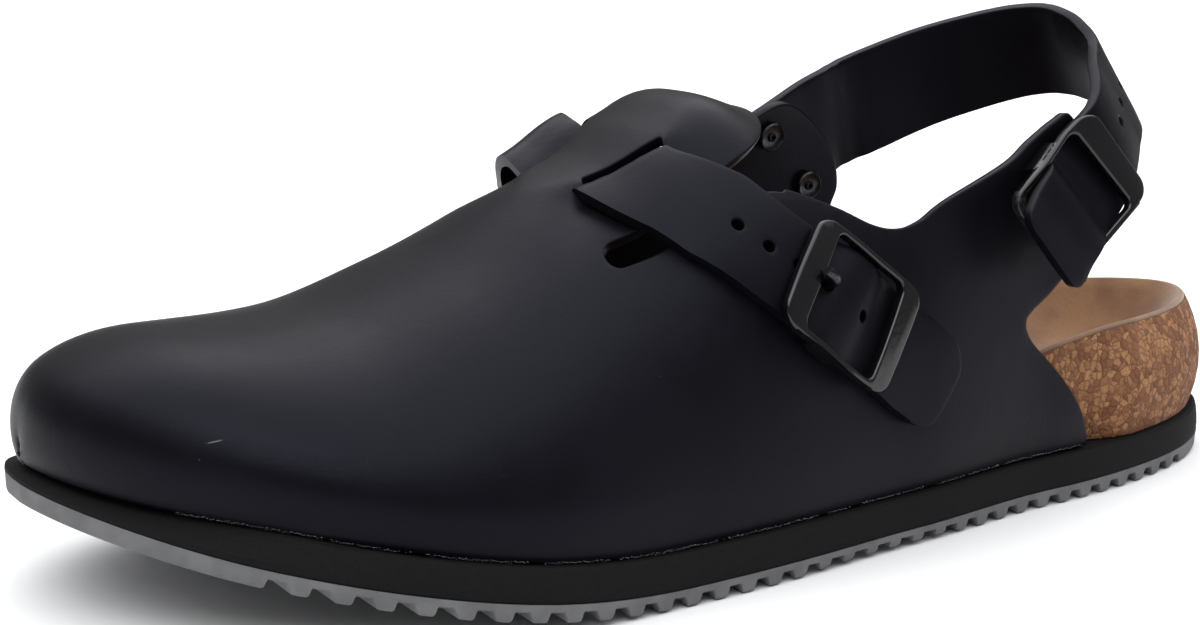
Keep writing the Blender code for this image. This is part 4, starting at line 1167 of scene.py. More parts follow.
# %% Make the buckle frames
FRAME_ROUNDING = 0.55 * MM
BAR_HALF = 0.9 * MM
BAR_BASE = 0.8 * MM
CHEEK = 4.2 * MM
FRAME_PLAY = 0.4 * MM
FRAME_CELL = 1.5 * MM
FRAME_CORNER = 3.5 * MM
WINDOW_CORNER = 1.6 * MM
BAR_INSET = 0.3 * MM

# Distances from a frame's middle between which its face is rubbed
NOT_RUBBED = (FRAME_LENGTH, 2 * FRAME_LENGTH)
WIDE_BAR = (-FRAME_LENGTH, -FRAME_LENGTH / 2 + FRAME_BAR + 0.5 * MM)


def joined(name, pieces):
    """One mesh object from several, which are removed."""
    work = bmesh.new()
    for piece in pieces:
        work.from_mesh(piece.data)
    mesh = bpy.data.meshes.new(name)
    work.to_mesh(mesh)
    work.free()
    for piece in pieces:
        bpy.data.objects.remove(piece)
    return in_scene(name, mesh)


def make_frame(name, node, centre, point, rubbed, longer):
    """Buckle frame with a wide bar, and a middle bar under the strap, bent to the strap's route.

    The rubbed part lies between two distances from the frame's middle. The thin bar is longer by an
    amount, outward.
    """
    half = FRAME_LENGTH / 2
    inside = STRAP_WIDTH / 2 + FRAME_PLAY
    outside = inside + FRAME_SIDE
    top = FRAME_LIFT + FRAME_THICK
    outer = rounded_box((centre - half - longer, -outside), (centre + half, outside), FRAME_CORNER)
    window = rounded_box((centre - half + FRAME_BAR, -inside), (centre + half - FRAME_FRONT_BAR, inside),
                         WINDOW_CORNER, 6)
    rim = cut_slab(name + "_rim", dense(outer, FRAME_CELL), FRAME_LIFT, top, [dense(window, FRAME_CELL)],
                   FRAME_ROUNDING, 4)
    bar_top = BAR_BASE + BAR_RISE - GAP - 0.2 * MM
    bar_outline = rounded_box((centre - BAR_HALF, -outside + BAR_INSET),
                              (centre + BAR_HALF, outside - BAR_INSET), 0.5 * MM)
    pieces = [rim, cut_slab(name + "_bar", bar_outline, BAR_BASE, bar_top, [], 0.4 * MM)]
    for k, (low, high) in enumerate(((inside, outside), (-outside, -inside))):
        cheek = rounded_box((centre - CHEEK, low), (centre + CHEEK, high), 0.4 * MM)
        pieces.append(cut_slab(f"{name}_cheek_{k}", cheek, BAR_BASE, top - 0.4 * MM, [], 0.3 * MM))
    made = joined(name, pieces)
    bend(made, 2.0 * MM, point, (plastic, plastic, plastic))
    wide = made.data.attributes.new("wide_bar", "FLOAT", "POINT")
    pattern = made.data.uv_layers["pattern"].data
    values = np.zeros(len(made.data.vertices))
    for loop, corner in zip(made.data.loops, pattern):
        values[loop.vertex_index] = float(rubbed[0] < corner.uv[0] / PATTERN_SCALE - centre < rubbed[1])
    wide.data.foreach_set("value", values)
    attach(made, "root")
    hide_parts(node)
    return made


make_frame("abs_instep_buckle", "instep_buckle", BUCKLE_REACH, on_instep, NOT_RUBBED, 2.0 * MM)
make_frame("abs_heel_buckle", "heel_buckle", HEEL_REACH, on_heel, WIDE_BAR, 0.0)

# %% [markdown]
# ## Pin and rivets
# The pin is dark nickel-plated steel wire. It stands in a hole of the strap and lies on the wide bar.
# Two tubular rivets hold the heel strap to the inner ear. Each has a thin dark cap on the inside of the
# shoe, with a dimple in its middle and a ring around it where the tube was rolled over. That ring gets a
# brighter copy of the steel, which is a painted glint. A rivet is a turned shape, so its profile is given
# a Screw modifier.

# %% Plated steel


def plated_steel(name, colour, roughness):
    """Nickel-plated steel with fine scratches."""
    made, tree, shader = surface(name, roughness, Metallic=1.0)
    spot = add(tree, "ShaderNodeTexCoord").outputs["Object"]
    scratch = add(tree, "ShaderNodeTexNoise", {"Vector": spot, "Scale": 1 / (0.5 * MM),
                                               "Detail": 3.0}).outputs["Fac"]
    tree.links.new(mixed(tree, ramp(tree, scratch, 0.3, 0.7, 0.0, 0.5), colour, "#55555A"),
                   shader.inputs["Base Color"])
    rough = add(tree, "ShaderNodeBump", {"Height": scratch, "Strength": 0.2, "Distance": 0.05 * MM})
    tree.links.new(rough.outputs[0], shader.inputs["Normal"])
    return made


dark_steel = plated_steel("dark_nickel_steel", "#2C2C2F", 0.30)
# The bright copy of the steel goes on each rivet's rolled ring; its brightness is a painted glint.
glint_steel = plated_steel("glint_painted_steel", "#B9B9B6", 0.25)

# %% Make the pin


def make_pin(centre, point):
    """Round pin from the strap's hole to the wide bar."""
    hole = centre + PIN_REACH
    top = FRAME_LIFT + FRAME_THICK + PIN / 2 + 0.4 * MM
    path = ((hole, 1.8 * MM), (hole, 3.6 * MM), (hole + 0.5 * MM, top - 1.2 * MM), (hole + 1.8 * MM, top),
            (hole + 3.6 * MM, top))
    steps = np.array(through(path, 6))
    curve = bpy.data.curves.new("steel_pin", "CURVE")
    curve.dimensions = "3D"
    curve.bevel_depth = PIN / 2
    curve.bevel_resolution = 4
    curve.use_fill_caps = True
    spline = curve.splines.new("POLY")
    spline.points.add(len(steps) - 1)
    for target, spot in zip(spline.points, point(steps[:, 0], np.zeros(len(steps)), steps[:, 1])):
        target.co = (*spot, 1)
    rod = in_scene("steel_pin", curve)
    mesh = result(rod)
    bpy.data.objects.remove(rod)
    made = in_scene("steel_pin", mesh)
    work = bmesh.new()
    work.from_mesh(mesh)
    bmesh.ops.remove_doubles(work, verts=work.verts, dist=WELD)
    bmesh.ops.recalc_face_normals(work, faces=work.faces)
    work.to_mesh(mesh)
    work.free()
    mesh.materials.clear()
    mesh.materials.append(dark_steel)
    mesh.shade_smooth()
    mesh.set_sharp_from_angle(angle=math.radians(50))
    return made


pin = make_pin(BUCKLE_REACH, on_instep)
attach(pin, "root")
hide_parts("instep_pin")

# %% Make the rivets
TUBE = 2.0 * MM


def rivet_profile(length):
    """Distances from the rivet's axis and levels along it, from the inner cap's middle to the outer's."""
    ring = TUBE / 2
    return ((0.0, 0.8 * MM), (ring - 0.5 * MM, 0.8 * MM), (ring - 0.4 * MM, 0.1 * MM),
            (ring - 0.2 * MM, 0.0), (ring, 0.1 * MM), (ring + 0.1 * MM, 0.5 * MM),
            (RIVET / 2 - 0.9 * MM, 0.4 * MM),
            (RIVET / 2 - 0.3 * MM, 0.05 * MM), (RIVET / 2, 0.3 * MM), (RIVET / 2, RIVET_HEAD * 0.9),
            (RIVET / 2 - 0.2 * MM, RIVET_HEAD),
            (RIVET_SHANK / 2, RIVET_HEAD), (RIVET_SHANK / 2, length - RIVET_HEAD),
            (RIVET / 2 - 0.2 * MM, length - RIVET_HEAD), (RIVET / 2, length - RIVET_HEAD * 0.8),
            (RIVET / 2 - 0.6 * MM, length - 0.2 * MM), (0.0, length))


def make_rivet(name, forward, across):
    """Turned rivet through the inner ear and the strap."""
    along, up = ear_place(heel_line, forward, across)
    angle = angle_at_height(along, up / INSTEP_HEIGHT, False)
    low = Vector(last_point(along, angle, -WALL - 2 * GAP - RIVET_HEAD))
    top = STRAP_LIFT + STRAP + GAP + RIVET_HEAD
    high = Vector(on_heel(np.array([forward]), np.array([across]), np.array([top]))[0])
    profile = rivet_profile((high - low).length)
    mesh = bpy.data.meshes.new(name)
    mesh.from_pydata([(r, 0, z) for r, z in profile], [(k, k + 1) for k in range(len(profile) - 1)], [])
    made = in_scene(name, mesh)
    screw = made.modifiers.new("turn", "SCREW")
    screw.steps = 32
    screw.render_steps = 32
    screw.use_merge_vertices = True
    screw.merge_threshold = WELD
    made.data = result(made)
    made.modifiers.clear()
    turn = (high - low).to_track_quat("Z", "Y").to_matrix()
    work = bmesh.new()
    work.from_mesh(made.data)
    bmesh.ops.remove_doubles(work, verts=work.verts, dist=WELD)
    if work.calc_volume(signed=True) < 0:
        bmesh.ops.reverse_faces(work, faces=work.faces)
    for face in work.faces:
        middle = face.calc_center_median()
        # Faces of the rolled ring get the bright steel, which paints a glint on them.
        rolled_glint_ring = math.hypot(middle.x, middle.y) < TUBE / 2 + 0.05 * MM and middle.z < 0.7 * MM
        face.material_index = int(rolled_glint_ring)
        face.smooth = True
    for vertex in work.verts:
        vertex.co = turn @ vertex.co + low
    work.to_mesh(made.data)
    work.free()
    made.data.materials.clear()
    made.data.materials.append(dark_steel)
    made.data.materials.append(glint_steel)
    made.data.set_sharp_from_angle(angle=math.radians(35))
    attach(made, "root")
    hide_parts(name.replace("turned_", ""))
    return made


for rivet_name, rivet_forward, rivet_across in rivet_places(heel_line):
    make_rivet("turned_" + rivet_name, rivet_forward, rivet_across)
print("made the pin and two rivets")

# %% [markdown]
# ## The sole
# The sole is a stack: a grey rubber outsole with bars across it, a black foam midsole, a cork footbed
# and a suede cover. The upper three are lofts through rings of the sole's plan at rising levels. The
# outsole is a loft through upright sections along the shoe, so that the grooves between the tread's
# bars can be cut square into it. The grooves' ends show as notches along its side.

# %% Rings of the sole
SPINE = (0.10, 0.86)
TOE_PART = (0.80, 0.97)


def stations(count):
    """Distances from the heel, closer together towards both ends."""
    return [LENGTH * (1 - math.cos(math.pi * k / count)) / 2 for k in range(count + 1)]


def plan_ring(count, inset, shrink=1.0):
    """Ring of (along, side) around the sole, moved in by inset and then shrunk towards the sole's spine."""
    along = np.array(stations(count))
    centre, half = centre_and_half(along)
    outer = np.stack([along, centre + half], axis=1)
    inner = np.stack([along, centre - half], axis=1)[1:-1][::-1]
    ring = np.concatenate([outer, inner])
    edge = np.roll(ring, -1, axis=0) - np.roll(ring, 1, axis=0)
    edge = edge / np.linalg.norm(edge, axis=1, keepdims=True)
    inward = np.stack([edge[:, 1], -edge[:, 0]], axis=1)
    moved = ring + inward * np.broadcast_to(inset, len(ring))[:, None]
    spine = np.clip(ring[:, 0], SPINE[0] * LENGTH, SPINE[1] * LENGTH)
    middle = np.stack([spine, centre_and_half(spine)[0]], axis=1)
    return middle + (moved - middle) * shrink, ring[:, 0]


def sole_rings(count, levels):
    """Rings of the sole's plan at levels of (inset at the sides, at the toe, height over the ground)."""
    rings = []
    for side_inset, toe_inset, height in levels:
        along = plan_ring(count, 0.0)[1]
        inset = side_inset + (toe_inset - side_inset) * ease(along / LENGTH, *TOE_PART)
        ring = plan_ring(count, inset)[0]
        rings.append(place(ring[:, 0], ring[:, 1], sole_top(ring[:, 0]) - OUTSOLE - MIDSOLE + height))
    return rings


def lofted(name, rings, finish, angle=35, one_face=False):
    """Closed solid through rings of equal length. Each end is one face, or strips across the shoe."""
    count = len(rings[0])
    work = bmesh.new()
    levels = [[work.verts.new(point) for point in ring] for ring in rings]
    for below, above in zip(levels, levels[1:]):
        for k in range(count):
            following = (k + 1) % count
            work.faces.new((below[k], below[following], above[following], above[k]))
    for ring in (levels[0], levels[-1]):
        if one_face:
            work.faces.new(ring)
            continue
        for k in range(count // 2):
            corners = [ring[k], ring[k + 1], ring[count - k - 1], ring[(count - k) % count]]
            corners = [corner for j, corner in enumerate(corners) if corner not in corners[:j]]
            work.faces.new(corners)
    bmesh.ops.recalc_face_normals(work, faces=work.faces)
    mesh = bpy.data.meshes.new(name)
    work.to_mesh(mesh)
    work.free()
    made = in_scene(name, mesh)
    mesh.materials.append(finish)
    mesh.shade_smooth()
    mesh.set_sharp_from_angle(angle=math.radians(angle))
    print(f"{name}: {len(mesh.polygons)} faces")
    return made


# %% [markdown]
# ## Rubber and foam
# The outsole is a grey styrene rubber, matt and a little mottled.
# The midsole is a black closed-cell foam with pores under a tenth of a millimetre, drawn coarser here.

# %% Grey rubber and black foam


def grey_rubber():
    """Moulded grey outsole rubber, faintly mottled and scuffed."""
    made, tree, shader = surface("grey_sole_rubber", 0.72)
    spot = add(tree, "ShaderNodeTexCoord").outputs["Object"]
    patch = add(tree, "ShaderNodeTexNoise", {"Vector": spot, "Scale": 1 / (7 * MM),
                                             "Detail": 4.0}).outputs["Fac"]
    speck = add(tree, "ShaderNodeTexNoise", {"Vector": spot, "Scale": 1 / (0.6 * MM),
                                             "Detail": 2.0}).outputs["Fac"]
    colour = mixed(tree, ramp(tree, patch, 0.35, 0.65), "#58585A", "#646465")
    colour = mixed(tree, ramp(tree, speck, 0.66, 0.76, 0.0, 0.35), colour, "#464648")
    tree.links.new(colour, shader.inputs["Base Color"])
    rough = add(tree, "ShaderNodeBump", {"Height": speck, "Strength": 0.3, "Distance": 0.08 * MM})
    tree.links.new(rough.outputs[0], shader.inputs["Normal"])
    return made


def black_foam():
    """Black closed-cell foam, matt with tiny pores."""
    made, tree, shader = surface("black_closed_cell_foam", 0.85, Specular_IOR_Level=0.2)
    spot = add(tree, "ShaderNodeTexCoord").outputs["Object"]
    pores = add(tree, "ShaderNodeTexNoise", {"Vector": spot, "Scale": 1 / (0.5 * MM),
                                             "Detail": 3.0}).outputs["Fac"]
    colour = mixed(tree, ramp(tree, pores, 0.4, 0.7), "#060607", "#0D0D0E")
    tree.links.new(colour, shader.inputs["Base Color"])
    rough = add(tree, "ShaderNodeBump", {"Height": pores, "Strength": 0.4, "Distance": 0.1 * MM})
    tree.links.new(rough.outputs[0], shader.inputs["Normal"])
    return made


rubber = grey_rubber()
foam = black_foam()

# %% Make the outsole
BAR_PITCH = 6.6 * MM
NOTCH_MOUTH = 1.9 * MM
NOTCH_ROOT = 1.1 * MM
TREAD_REACH = (0.085, 0.88)
TREAD_MARGIN = 3 * MM
OUTSOLE_END = 0.3 * MM
LEAST_HALF = 0.2 * MM

# Distance from a groove's middle, share of the groove's depth
GROOVE_SIDE = ((NOTCH_MOUTH + 0.4 * MM, 0.0), (NOTCH_MOUTH, 0.15), (NOTCH_ROOT + 0.3 * MM, 0.85),
               (NOTCH_ROOT, 1.0))


def tread_levels():
    """Stations along the sole, with how deep the tread is cut at each."""
    first, last = (share * LENGTH for share in TREAD_REACH)
    count = round((last - first) / BAR_PITCH)
    made = [(along, 0.0) for along in stations(110)
            if along < first - TREAD_MARGIN or along > last + TREAD_MARGIN]
    for k in range(count + 1):
        middle = first + (last - first) * k / count
        for offset, depth in GROOVE_SIDE:
            made += [(middle - offset, depth * GROOVE_DEPTH), (middle + offset, depth * GROOVE_DEPTH)]
    return [(min(max(along, OUTSOLE_END), LENGTH - OUTSOLE_END), cut) for along, cut in sorted(made)]


def make_outsole():
    """Outsole as one solid through upright sections, one for each station along it."""
    sections = []
    for along, cut in tread_levels():
        centre, half = centre_and_half(along)
        low = float(ground(along)) + cut
        high = float(sole_top(along)) - MIDSOLE
        side = ((0.0, high), (0.25 * MM, high - 0.35 * OUTSOLE), (0.4 * MM, low + 0.5 * MM),
                (0.65 * MM, low + 0.15 * MM), (1.0 * MM, low))
        side = [(max(half - inset, LEAST_HALF), level) for inset, level in side]
        right = [place(along, centre + reach, level) for reach, level in side]
        left = [place(along, centre - reach, level) for reach, level in side[::-1]]
        sections.append(tip_pulled(np.array(right + left)))
    return lofted("rubber_outsole", sections, rubber, 30, True)


outsole = make_outsole()
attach(outsole, "root")
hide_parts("outsole")

# %% Make the midsole
RING = 84


def make_midsole():
    """Black layer on the outsole, which slopes back under the upper at the toe."""
    low = OUTSOLE
    levels = ((0.0004, 0.0002, low), (0.0001, 0.0, low + 0.0004), (0.0, 0.0001, low + 0.25 * MIDSOLE),
              (0.0001, 0.0022, low + 0.5 * MIDSOLE), (0.0003, 0.0040, low + 0.75 * MIDSOLE),
              (0.0006, 0.0054, low + 0.93 * MIDSOLE), (0.0012, 0.0066, OUTSOLE + MIDSOLE))
    rings = sole_rings(RING, levels)
    for (_, _, height), ring in zip(levels, rings):
        share = 0.5 - ring[:, 0] / LENGTH
        ring[:, 2] -= TIP_DROP * ease(share, *TIP_REACH) * (height - low) / MIDSOLE
        tip_pulled(ring)
    return lofted("foam_midsole", rings, foam)


midsole = make_midsole()
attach(midsole, "root")
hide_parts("midsole")

# %% [markdown]
# ## Cork and suede
# The footbed is cork ground to crumbs of one to three millimetres and pressed with latex. Its bare side
# shows light and dark crumbs with dark gaps. Tan suede lines its hollow and turns out over the rim in a
# thin rolled lip.

# %% Cork crumbs and suede
CRUMB = 1.7 * MM


def pressed_cork():
    """Cork crumbs and finer grit, with dark gaps between the crumbs and a few stains."""
    made, tree, shader = surface("pressed_cork", 0.88)
    spot = add(tree, "ShaderNodeTexCoord").outputs["Object"]
    warp = add(tree, "ShaderNodeTexNoise", {"Vector": spot, "Scale": 1 / (1.5 * MM), "Detail": 2.0})
    push = add(tree, "ShaderNodeVectorMath", {0: warp.outputs["Color"], "Scale": 0.9 * MM},
               operation="SCALE").outputs[0]
    moved = add(tree, "ShaderNodeVectorMath", {0: spot, 1: push}, operation="ADD").outputs[0]
    crumb = add(tree, "ShaderNodeTexVoronoi", {"Vector": moved, "Scale": 1 / CRUMB})
    gap = add(tree, "ShaderNodeTexVoronoi", {"Vector": moved, "Scale": 1 / CRUMB},
              feature="DISTANCE_TO_EDGE").outputs["Distance"]
    shade = add(tree, "ShaderNodeSeparateColor", {"Color": crumb.outputs["Color"]}).outputs[0]
    tone = mixed(tree, ramp(tree, shade, 0.15, 0.85), "#6C3F22", "#9C6F48")
    grit = add(tree, "ShaderNodeTexNoise", {"Vector": spot, "Scale": 1 / (0.45 * MM),
                                            "Detail": 4.0}).outputs["Fac"]
    tone = mixed(tree, ramp(tree, grit, 0.52, 0.66, 0.0, 0.65), tone, "#5C3418")
    tone = mixed(tree, ramp(tree, gap, 0.10, 0.0, 0.0, 0.75), tone, "#4A2812")
    stain = add(tree, "ShaderNodeTexNoise", {"Vector": spot, "Scale": 1 / (6 * MM),
                                             "Detail": 3.0}).outputs["Fac"]
    tone = mixed(tree, ramp(tree, stain, 0.45, 0.75, 0.0, 0.45), tone, "#875B3A")
    tree.links.new(tone, shader.inputs["Base Color"])
    deep = add(tree, "ShaderNodeBump", {"Height": ramp(tree, gap, 0.0, 0.25), "Strength": 0.8,
                                        "Distance": 0.35 * MM})
    rough = add(tree, "ShaderNodeBump", {"Height": grit, "Strength": 0.6, "Distance": 0.2 * MM,
                                         "Normal": deep.outputs[0]})
    tree.links.new(rough.outputs[0], shader.inputs["Normal"])
    return made


def tan_suede():
    """Napped tan suede with darker rubbed patches."""
    made, tree, shader = surface("tan_suede", 0.97, Sheen_Weight=0.4, Sheen_Roughness=0.5)
    spot = add(tree, "ShaderNodeTexCoord").outputs["Object"]
    nap = add(tree, "ShaderNodeTexNoise", {"Vector": spot, "Scale": 1 / (0.6 * MM), "Detail": 4.0,
                                           "Roughness": 0.65}).outputs["Fac"]
    patch = add(tree, "ShaderNodeTexNoise", {"Vector": spot, "Scale": 1 / (11 * MM),
                                             "Detail": 4.0}).outputs["Fac"]
    colour = mixed(tree, ramp(tree, patch, 0.35, 0.65), "#69482F", "#7C593C")
    colour = mixed(tree, ramp(tree, nap, 0.50, 0.75, 0.0, 0.5), colour, "#4E3521")
    tree.links.new(colour, shader.inputs["Base Color"])
    rough = add(tree, "ShaderNodeBump", {"Height": nap, "Strength": 0.6, "Distance": 0.15 * MM})
    tree.links.new(rough.outputs[0], shader.inputs["Normal"])
    return made


cork = pressed_cork()
suede = tan_suede()

# %% Make the footbed
FOOTBED = 0.0095
HEEL_RIM = 0.0250
COVER = 0.0012
RIM_STEP = 0.001
RIM_FALL = (0.50, 0.16)
BOWL_POWER = 2.8
BARE_PART = (0.150, 0.200)
HEEL_BULGE = (0.0024, 0.0100, 0.0118)


def rim_height(share):
    """Height of the footbed's edge over the sole: a high heel rim that falls towards the toe."""
    low = FOOTBED + RIM_STEP
    return low + (HEEL_RIM - FOOTBED - RIM_STEP) * ease(share, *RIM_FALL)


def bed_height(share, across):
    """Height of the footbed's hollow, where across is 0 on its spine and 1 at the rim."""
    middle = FOOTBED - 0.0012 * ease(share, 0.55, 0.70)
    return middle + (rim_height(share) - middle) * across ** BOWL_POWER


def bed_inset(share, up):
    """Inset of the footbed's side at a height: inside the upper's wall, or bulging at the bare heel."""
    covered = WALL + 0.0018 + FEATHER_TUCK * np.clip(1 - up / TUCK_HEIGHT, 0, 1) ** 2
    covered = covered + 0.0014 * ease(share, 0.5, 0.8) + (TOE_LIP + 0.0020) * ease(share, 0.72, 0.95)
    level = np.clip(up / HEEL_RIM, 0, 1)
    bare = HEEL_BULGE[0] - HEEL_BULGE[1] * level + HEEL_BULGE[2] * level ** 2
    return bare + (covered - bare) * ease(share, *BARE_PART)


def bed_ring(count, level):
    """Ring of the footbed's side at a level from 0 at its bottom to 1 at its rim."""
    share = plan_ring(count, 0.0)[1] / LENGTH
    up = GAP + (rim_height(share) - GAP) * level
    ring = plan_ring(count, bed_inset(share, up))[0]
    return place(ring[:, 0], ring[:, 1], sole_top(ring[:, 0]) + up)


def hollow_ring(count, inset, across, raise_by):
    """Ring in the footbed's hollow, where across is 1 at the rim and 0 on the spine."""
    share = plan_ring(count, 0.0)[1] / LENGTH
    ring = plan_ring(count, bed_inset(share, rim_height(share)) + inset, across)[0]
    return place(ring[:, 0], ring[:, 1], sole_top(ring[:, 0]) + bed_height(share, across) + raise_by)


def make_footbed():
    """Cork with a deep heel cup, whose bare side bulges at the heel."""
    rings = [bed_ring(RING, level) for level in (0.0, 0.08, 0.2, 0.35, 0.5, 0.65, 0.8, 0.92, 1.0)]
    rings += [hollow_ring(RING, 1.2 * MM, across, -1.0 * MM) for across in (1.0, 0.9, 0.75, 0.55, 0.3, 0.08)]
    return lofted("cork_footbed", rings, cork, 50)


footbed = make_footbed()
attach(footbed, "root")
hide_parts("footbed")

# %% Make the suede cover
LIP = 1.1 * MM


def make_insole():
    """Suede in the hollow, which turns out over the rim in a rolled lip."""
    under = [hollow_ring(RING, 1.4 * MM, across, -0.2 * MM) for across in (0.06, 0.3, 0.55, 0.75, 0.9, 1.0)]
    lip = []
    for turn in (-60, -20, 20, 60, 100, 140):
        angle = math.radians(turn)
        inset = LIP * (0.9 - 0.75 * math.cos(angle))
        lip.append(hollow_ring(RING, inset, 1.0, LIP * (0.10 + 0.6 * math.sin(angle))))
    over = [hollow_ring(RING, 1.4 * MM, across, COVER * 0.8)
            for across in (0.93, 0.85, 0.75, 0.65, 0.55, 0.42, 0.3, 0.18, 0.06)]
    return lofted("suede_insole", under + lip + over, suede, 60)


insole = make_insole()
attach(insole, "root")
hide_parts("insole")

# %% [markdown]
# ## Glue crumbs
# Where the upper meets the midsole, a thin broken line of dried glue shows. It is hundreds of crumbs
# that follow one path, which is what Geometry Nodes do well: the path is resampled, its points are
# dropped where a noise is high, and a small crumb of its own size goes on each point that is left.

# %% Node tree for crumbs along a path
CRUMB_SHIFT = 0.2 * MM
CRUMB_LEAST = (0.5, 0.5, 0.4)
CRUMB_MOST = (2.2, 1.0, 0.9)


def crumb_tree(finish):
    """Geometry Nodes that put crumbs along a path."""
    tree = bpy.data.node_groups.new("crumbs_along_path", "GeometryNodeTree")
    face = tree.interface
    face.new_socket("Path", in_out="INPUT", socket_type="NodeSocketGeometry")
    for name, value in (("Spacing", 0.30 * MM), ("Crumb size", 0.09 * MM), ("Kept share", 0.70)):
        face.new_socket(name, in_out="INPUT", socket_type="NodeSocketFloat").default_value = value
    face.new_socket("Seed", in_out="INPUT", socket_type="NodeSocketInt").default_value = 3
    face.new_socket("Crumbs", in_out="OUTPUT", socket_type="NodeSocketGeometry")
    given = add(tree, "NodeGroupInput").outputs
    line = add(tree, "GeometryNodeMeshToCurve", {"Mesh": given["Path"]}).outputs[0]
    spots = add(tree, "GeometryNodeCurveToPoints", {"Curve": line, "Length": given["Spacing"]},
                mode="LENGTH").outputs["Points"]
    spot = add(tree, "GeometryNodeInputPosition").outputs[0]
    patch = add(tree, "ShaderNodeTexNoise", {"Vector": spot, "Scale": 1 / (5 * MM),
                                             "Detail": 4.0}).outputs["Fac"]
    limit = sums(tree, "ADD", sums(tree, "MULTIPLY", given["Kept share"], 0.5), 0.24)
    gone = add(tree, "FunctionNodeCompare", {0: patch, 1: limit}, operation="GREATER_THAN").outputs[0]
    left = add(tree, "GeometryNodeDeleteGeometry", {"Geometry": spots, "Selection": gone})
    moves = {"Min": (-CRUMB_SHIFT,) * 3, "Max": (CRUMB_SHIFT,) * 3, "Seed": given["Seed"]}
    shift = add(tree, "FunctionNodeRandomValue", moves, data_type="FLOAT_VECTOR").outputs[0]
    placed = add(tree, "GeometryNodeSetPosition", {"Geometry": left.outputs[0], "Offset": shift}).outputs[0]
    crumb = add(tree, "GeometryNodeMeshIcoSphere", {"Radius": given["Crumb size"],
                                                    "Subdivisions": 1}).outputs[0]
    sizes = {"Min": CRUMB_LEAST, "Max": CRUMB_MOST, "Seed": given["Seed"]}
    size = add(tree, "FunctionNodeRandomValue", sizes, data_type="FLOAT_VECTOR").outputs[0]
    many = add(tree, "GeometryNodeInstanceOnPoints", {"Points": placed, "Instance": crumb,
                                                      "Scale": size}).outputs[0]
    real = add(tree, "GeometryNodeRealizeInstances", {"Geometry": many}).outputs[0]
    done = add(tree, "GeometryNodeSetMaterial", {"Geometry": real, "Material": finish}).outputs[0]
    add(tree, "NodeGroupOutput", {"Crumbs": done})
    return tree


def grown(name, source, tree):
    """Plain mesh object from a tree's result on a source mesh object, which is removed."""
    step = source.modifiers.new("grow", "NODES")
    step.node_group = tree
    mesh = result(source)
    bpy.data.objects.remove(source)
    made = in_scene(name, mesh)
    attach(made, "root")
    print(f"{name}: {len(mesh.polygons)} faces")
    return made


# %% Lay the glue line
GLUE_REACH = (0.215, 0.93)
GLUE_STEPS = 400
GLUE_TURN = 0.006
GLUE_LIFT = 0.15 * MM


def glue_path():
    """Mesh line where the upper's foot meets the midsole, on both sides of the shoe."""
    points = []
    for turn in (GLUE_TURN, math.pi - GLUE_TURN):
        along = np.linspace(GLUE_REACH[0] * LENGTH, GLUE_REACH[1] * LENGTH, GLUE_STEPS)
        points.append(tip_lowered(last_point(along, np.full(GLUE_STEPS, turn), GLUE_LIFT)))
    mesh = bpy.data.meshes.new("glue_path")
    edges = [(k, k + 1) for k in range(2 * GLUE_STEPS - 1) if k != GLUE_STEPS - 1]
    mesh.from_pydata([tuple(point) for point in np.concatenate(points)], edges, [])
    return in_scene("glue_path", mesh)


dried_glue = surface("dried_glue", 0.6, Base_Color=linear("#77797B"))[0]
grown("glue_crumbs", glue_path(), crumb_tree(dried_glue))

# %% [markdown]
# ## Stage, light and camera
# The clog stands on a plain pale floor, and most of its light comes from the backdrop, which is bright
# overhead and dim at the horizon. That gives the tops of the leather a broad soft shine and leaves its
# sides black. One soft light above the camera adds to the shine of the toe, and a weaker one behind
# the shoe draws the edges of the straps. The camera is where the photograph was taken from: low, and
# from the toe's outer side.

# %% Floor and light
FLOOR_SIZE = 6.0
FLOOR_LEVEL = -0.2 * MM
bpy.ops.mesh.primitive_plane_add(size=FLOOR_SIZE, location=(0, 0, FLOOR_LEVEL))
floor = bpy.context.object
floor.name = "floor"
floor.data.materials.append(surface("pale_paper_floor", 0.9, Base_Color=linear("#E6E6E6"))[0])

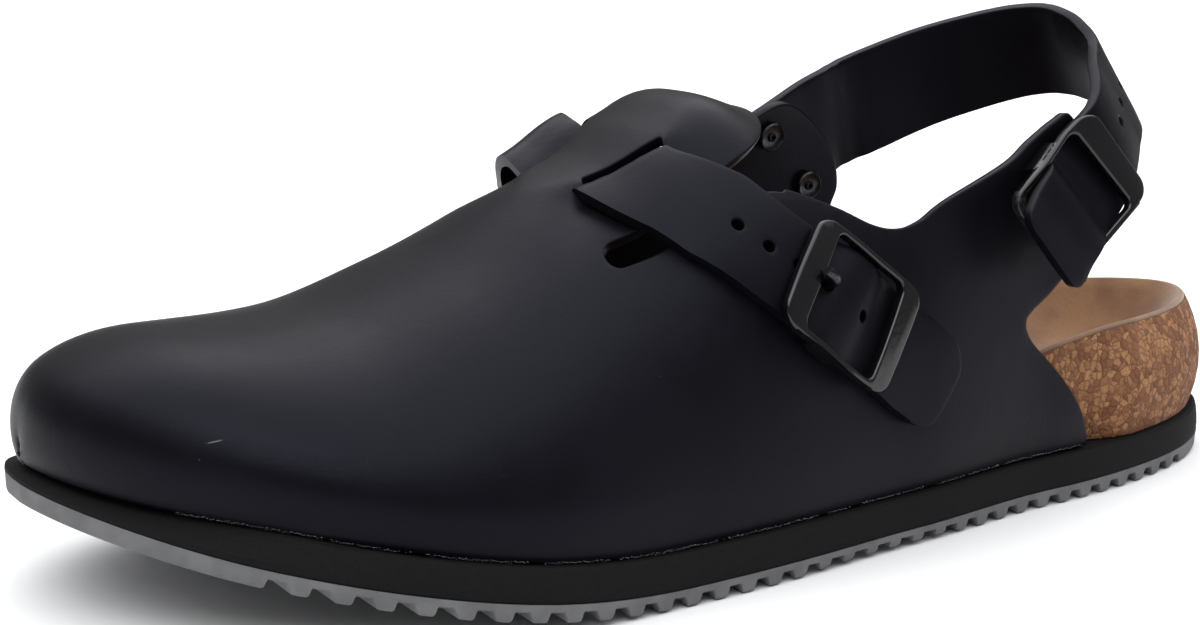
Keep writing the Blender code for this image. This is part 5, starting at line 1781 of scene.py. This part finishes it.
HORIZON_LIGHT = 0.30
OVERHEAD_LIGHT = 3.00
SKY_REACH = (0.40, 0.88)
world = bpy.data.worlds.new("studio")
world.use_nodes = True
backdrop = world.node_tree.nodes["Background"]
backdrop.inputs["Color"].default_value = linear("#F8F9FB")
direction = add(world.node_tree, "ShaderNodeTexCoord").outputs["Generated"]
upward = add(world.node_tree, "ShaderNodeSeparateXYZ", {"Vector": direction}).outputs["Z"]
sky = ramp(world.node_tree, upward, *SKY_REACH, HORIZON_LIGHT, OVERHEAD_LIGHT)
world.node_tree.links.new(sky, backdrop.inputs["Strength"])
bpy.context.scene.world = world
bpy.context.scene.view_settings.view_transform = "Standard"


def soft_light(name, spot, target, size, power):
    """Rectangular area light at a spot, turned to a target."""
    lamp = bpy.data.lights.new(name, "AREA")
    lamp.shape = "RECTANGLE"
    lamp.size, lamp.size_y = size
    lamp.energy = power
    made = in_scene(name, lamp)
    made.location = spot
    made.rotation_euler = (Vector(target) - Vector(spot)).to_track_quat("-Z", "Y").to_euler()


soft_light("key", (-0.60, -0.60, 0.90), (-0.03, 0, 0.03), (0.8, 0.6), 3.0)
soft_light("rim", (0.35, 0.75, 0.85), (0.0, 0, 0.05), (0.6, 0.4), 1.0)

# %% Camera
AZIMUTH = math.radians(-30.1)
ELEVATION = math.radians(12.0)
DISTANCE = 0.449
TARGET = Vector((-0.021, MIDDLE, 0.041))
FOCUS_PIXELS = 2200
PHOTO_SIZE = (1200, 625)
PHOTO_CENTRE = (603, 334)

back = Vector((math.sin(AZIMUTH) * math.cos(ELEVATION), -math.cos(AZIMUTH) * math.cos(ELEVATION),
               math.sin(ELEVATION)))
lens = bpy.data.cameras.new("camera")
lens.sensor_width = 36.0
lens.lens = FOCUS_PIXELS / PHOTO_SIZE[0] * lens.sensor_width
lens.shift_x = -(PHOTO_CENTRE[0] - PHOTO_SIZE[0] / 2) / PHOTO_SIZE[0]
lens.shift_y = (PHOTO_CENTRE[1] - PHOTO_SIZE[1] / 2) / PHOTO_SIZE[0]
lens.clip_start = 0.01
lens.clip_end = 20.0
camera = in_scene("camera", lens)
camera.location = TARGET + back * DISTANCE
camera.rotation_mode = "QUATERNION"
camera.rotation_quaternion = (-back).to_track_quat("-Z", "Y")
bpy.context.scene.camera = camera
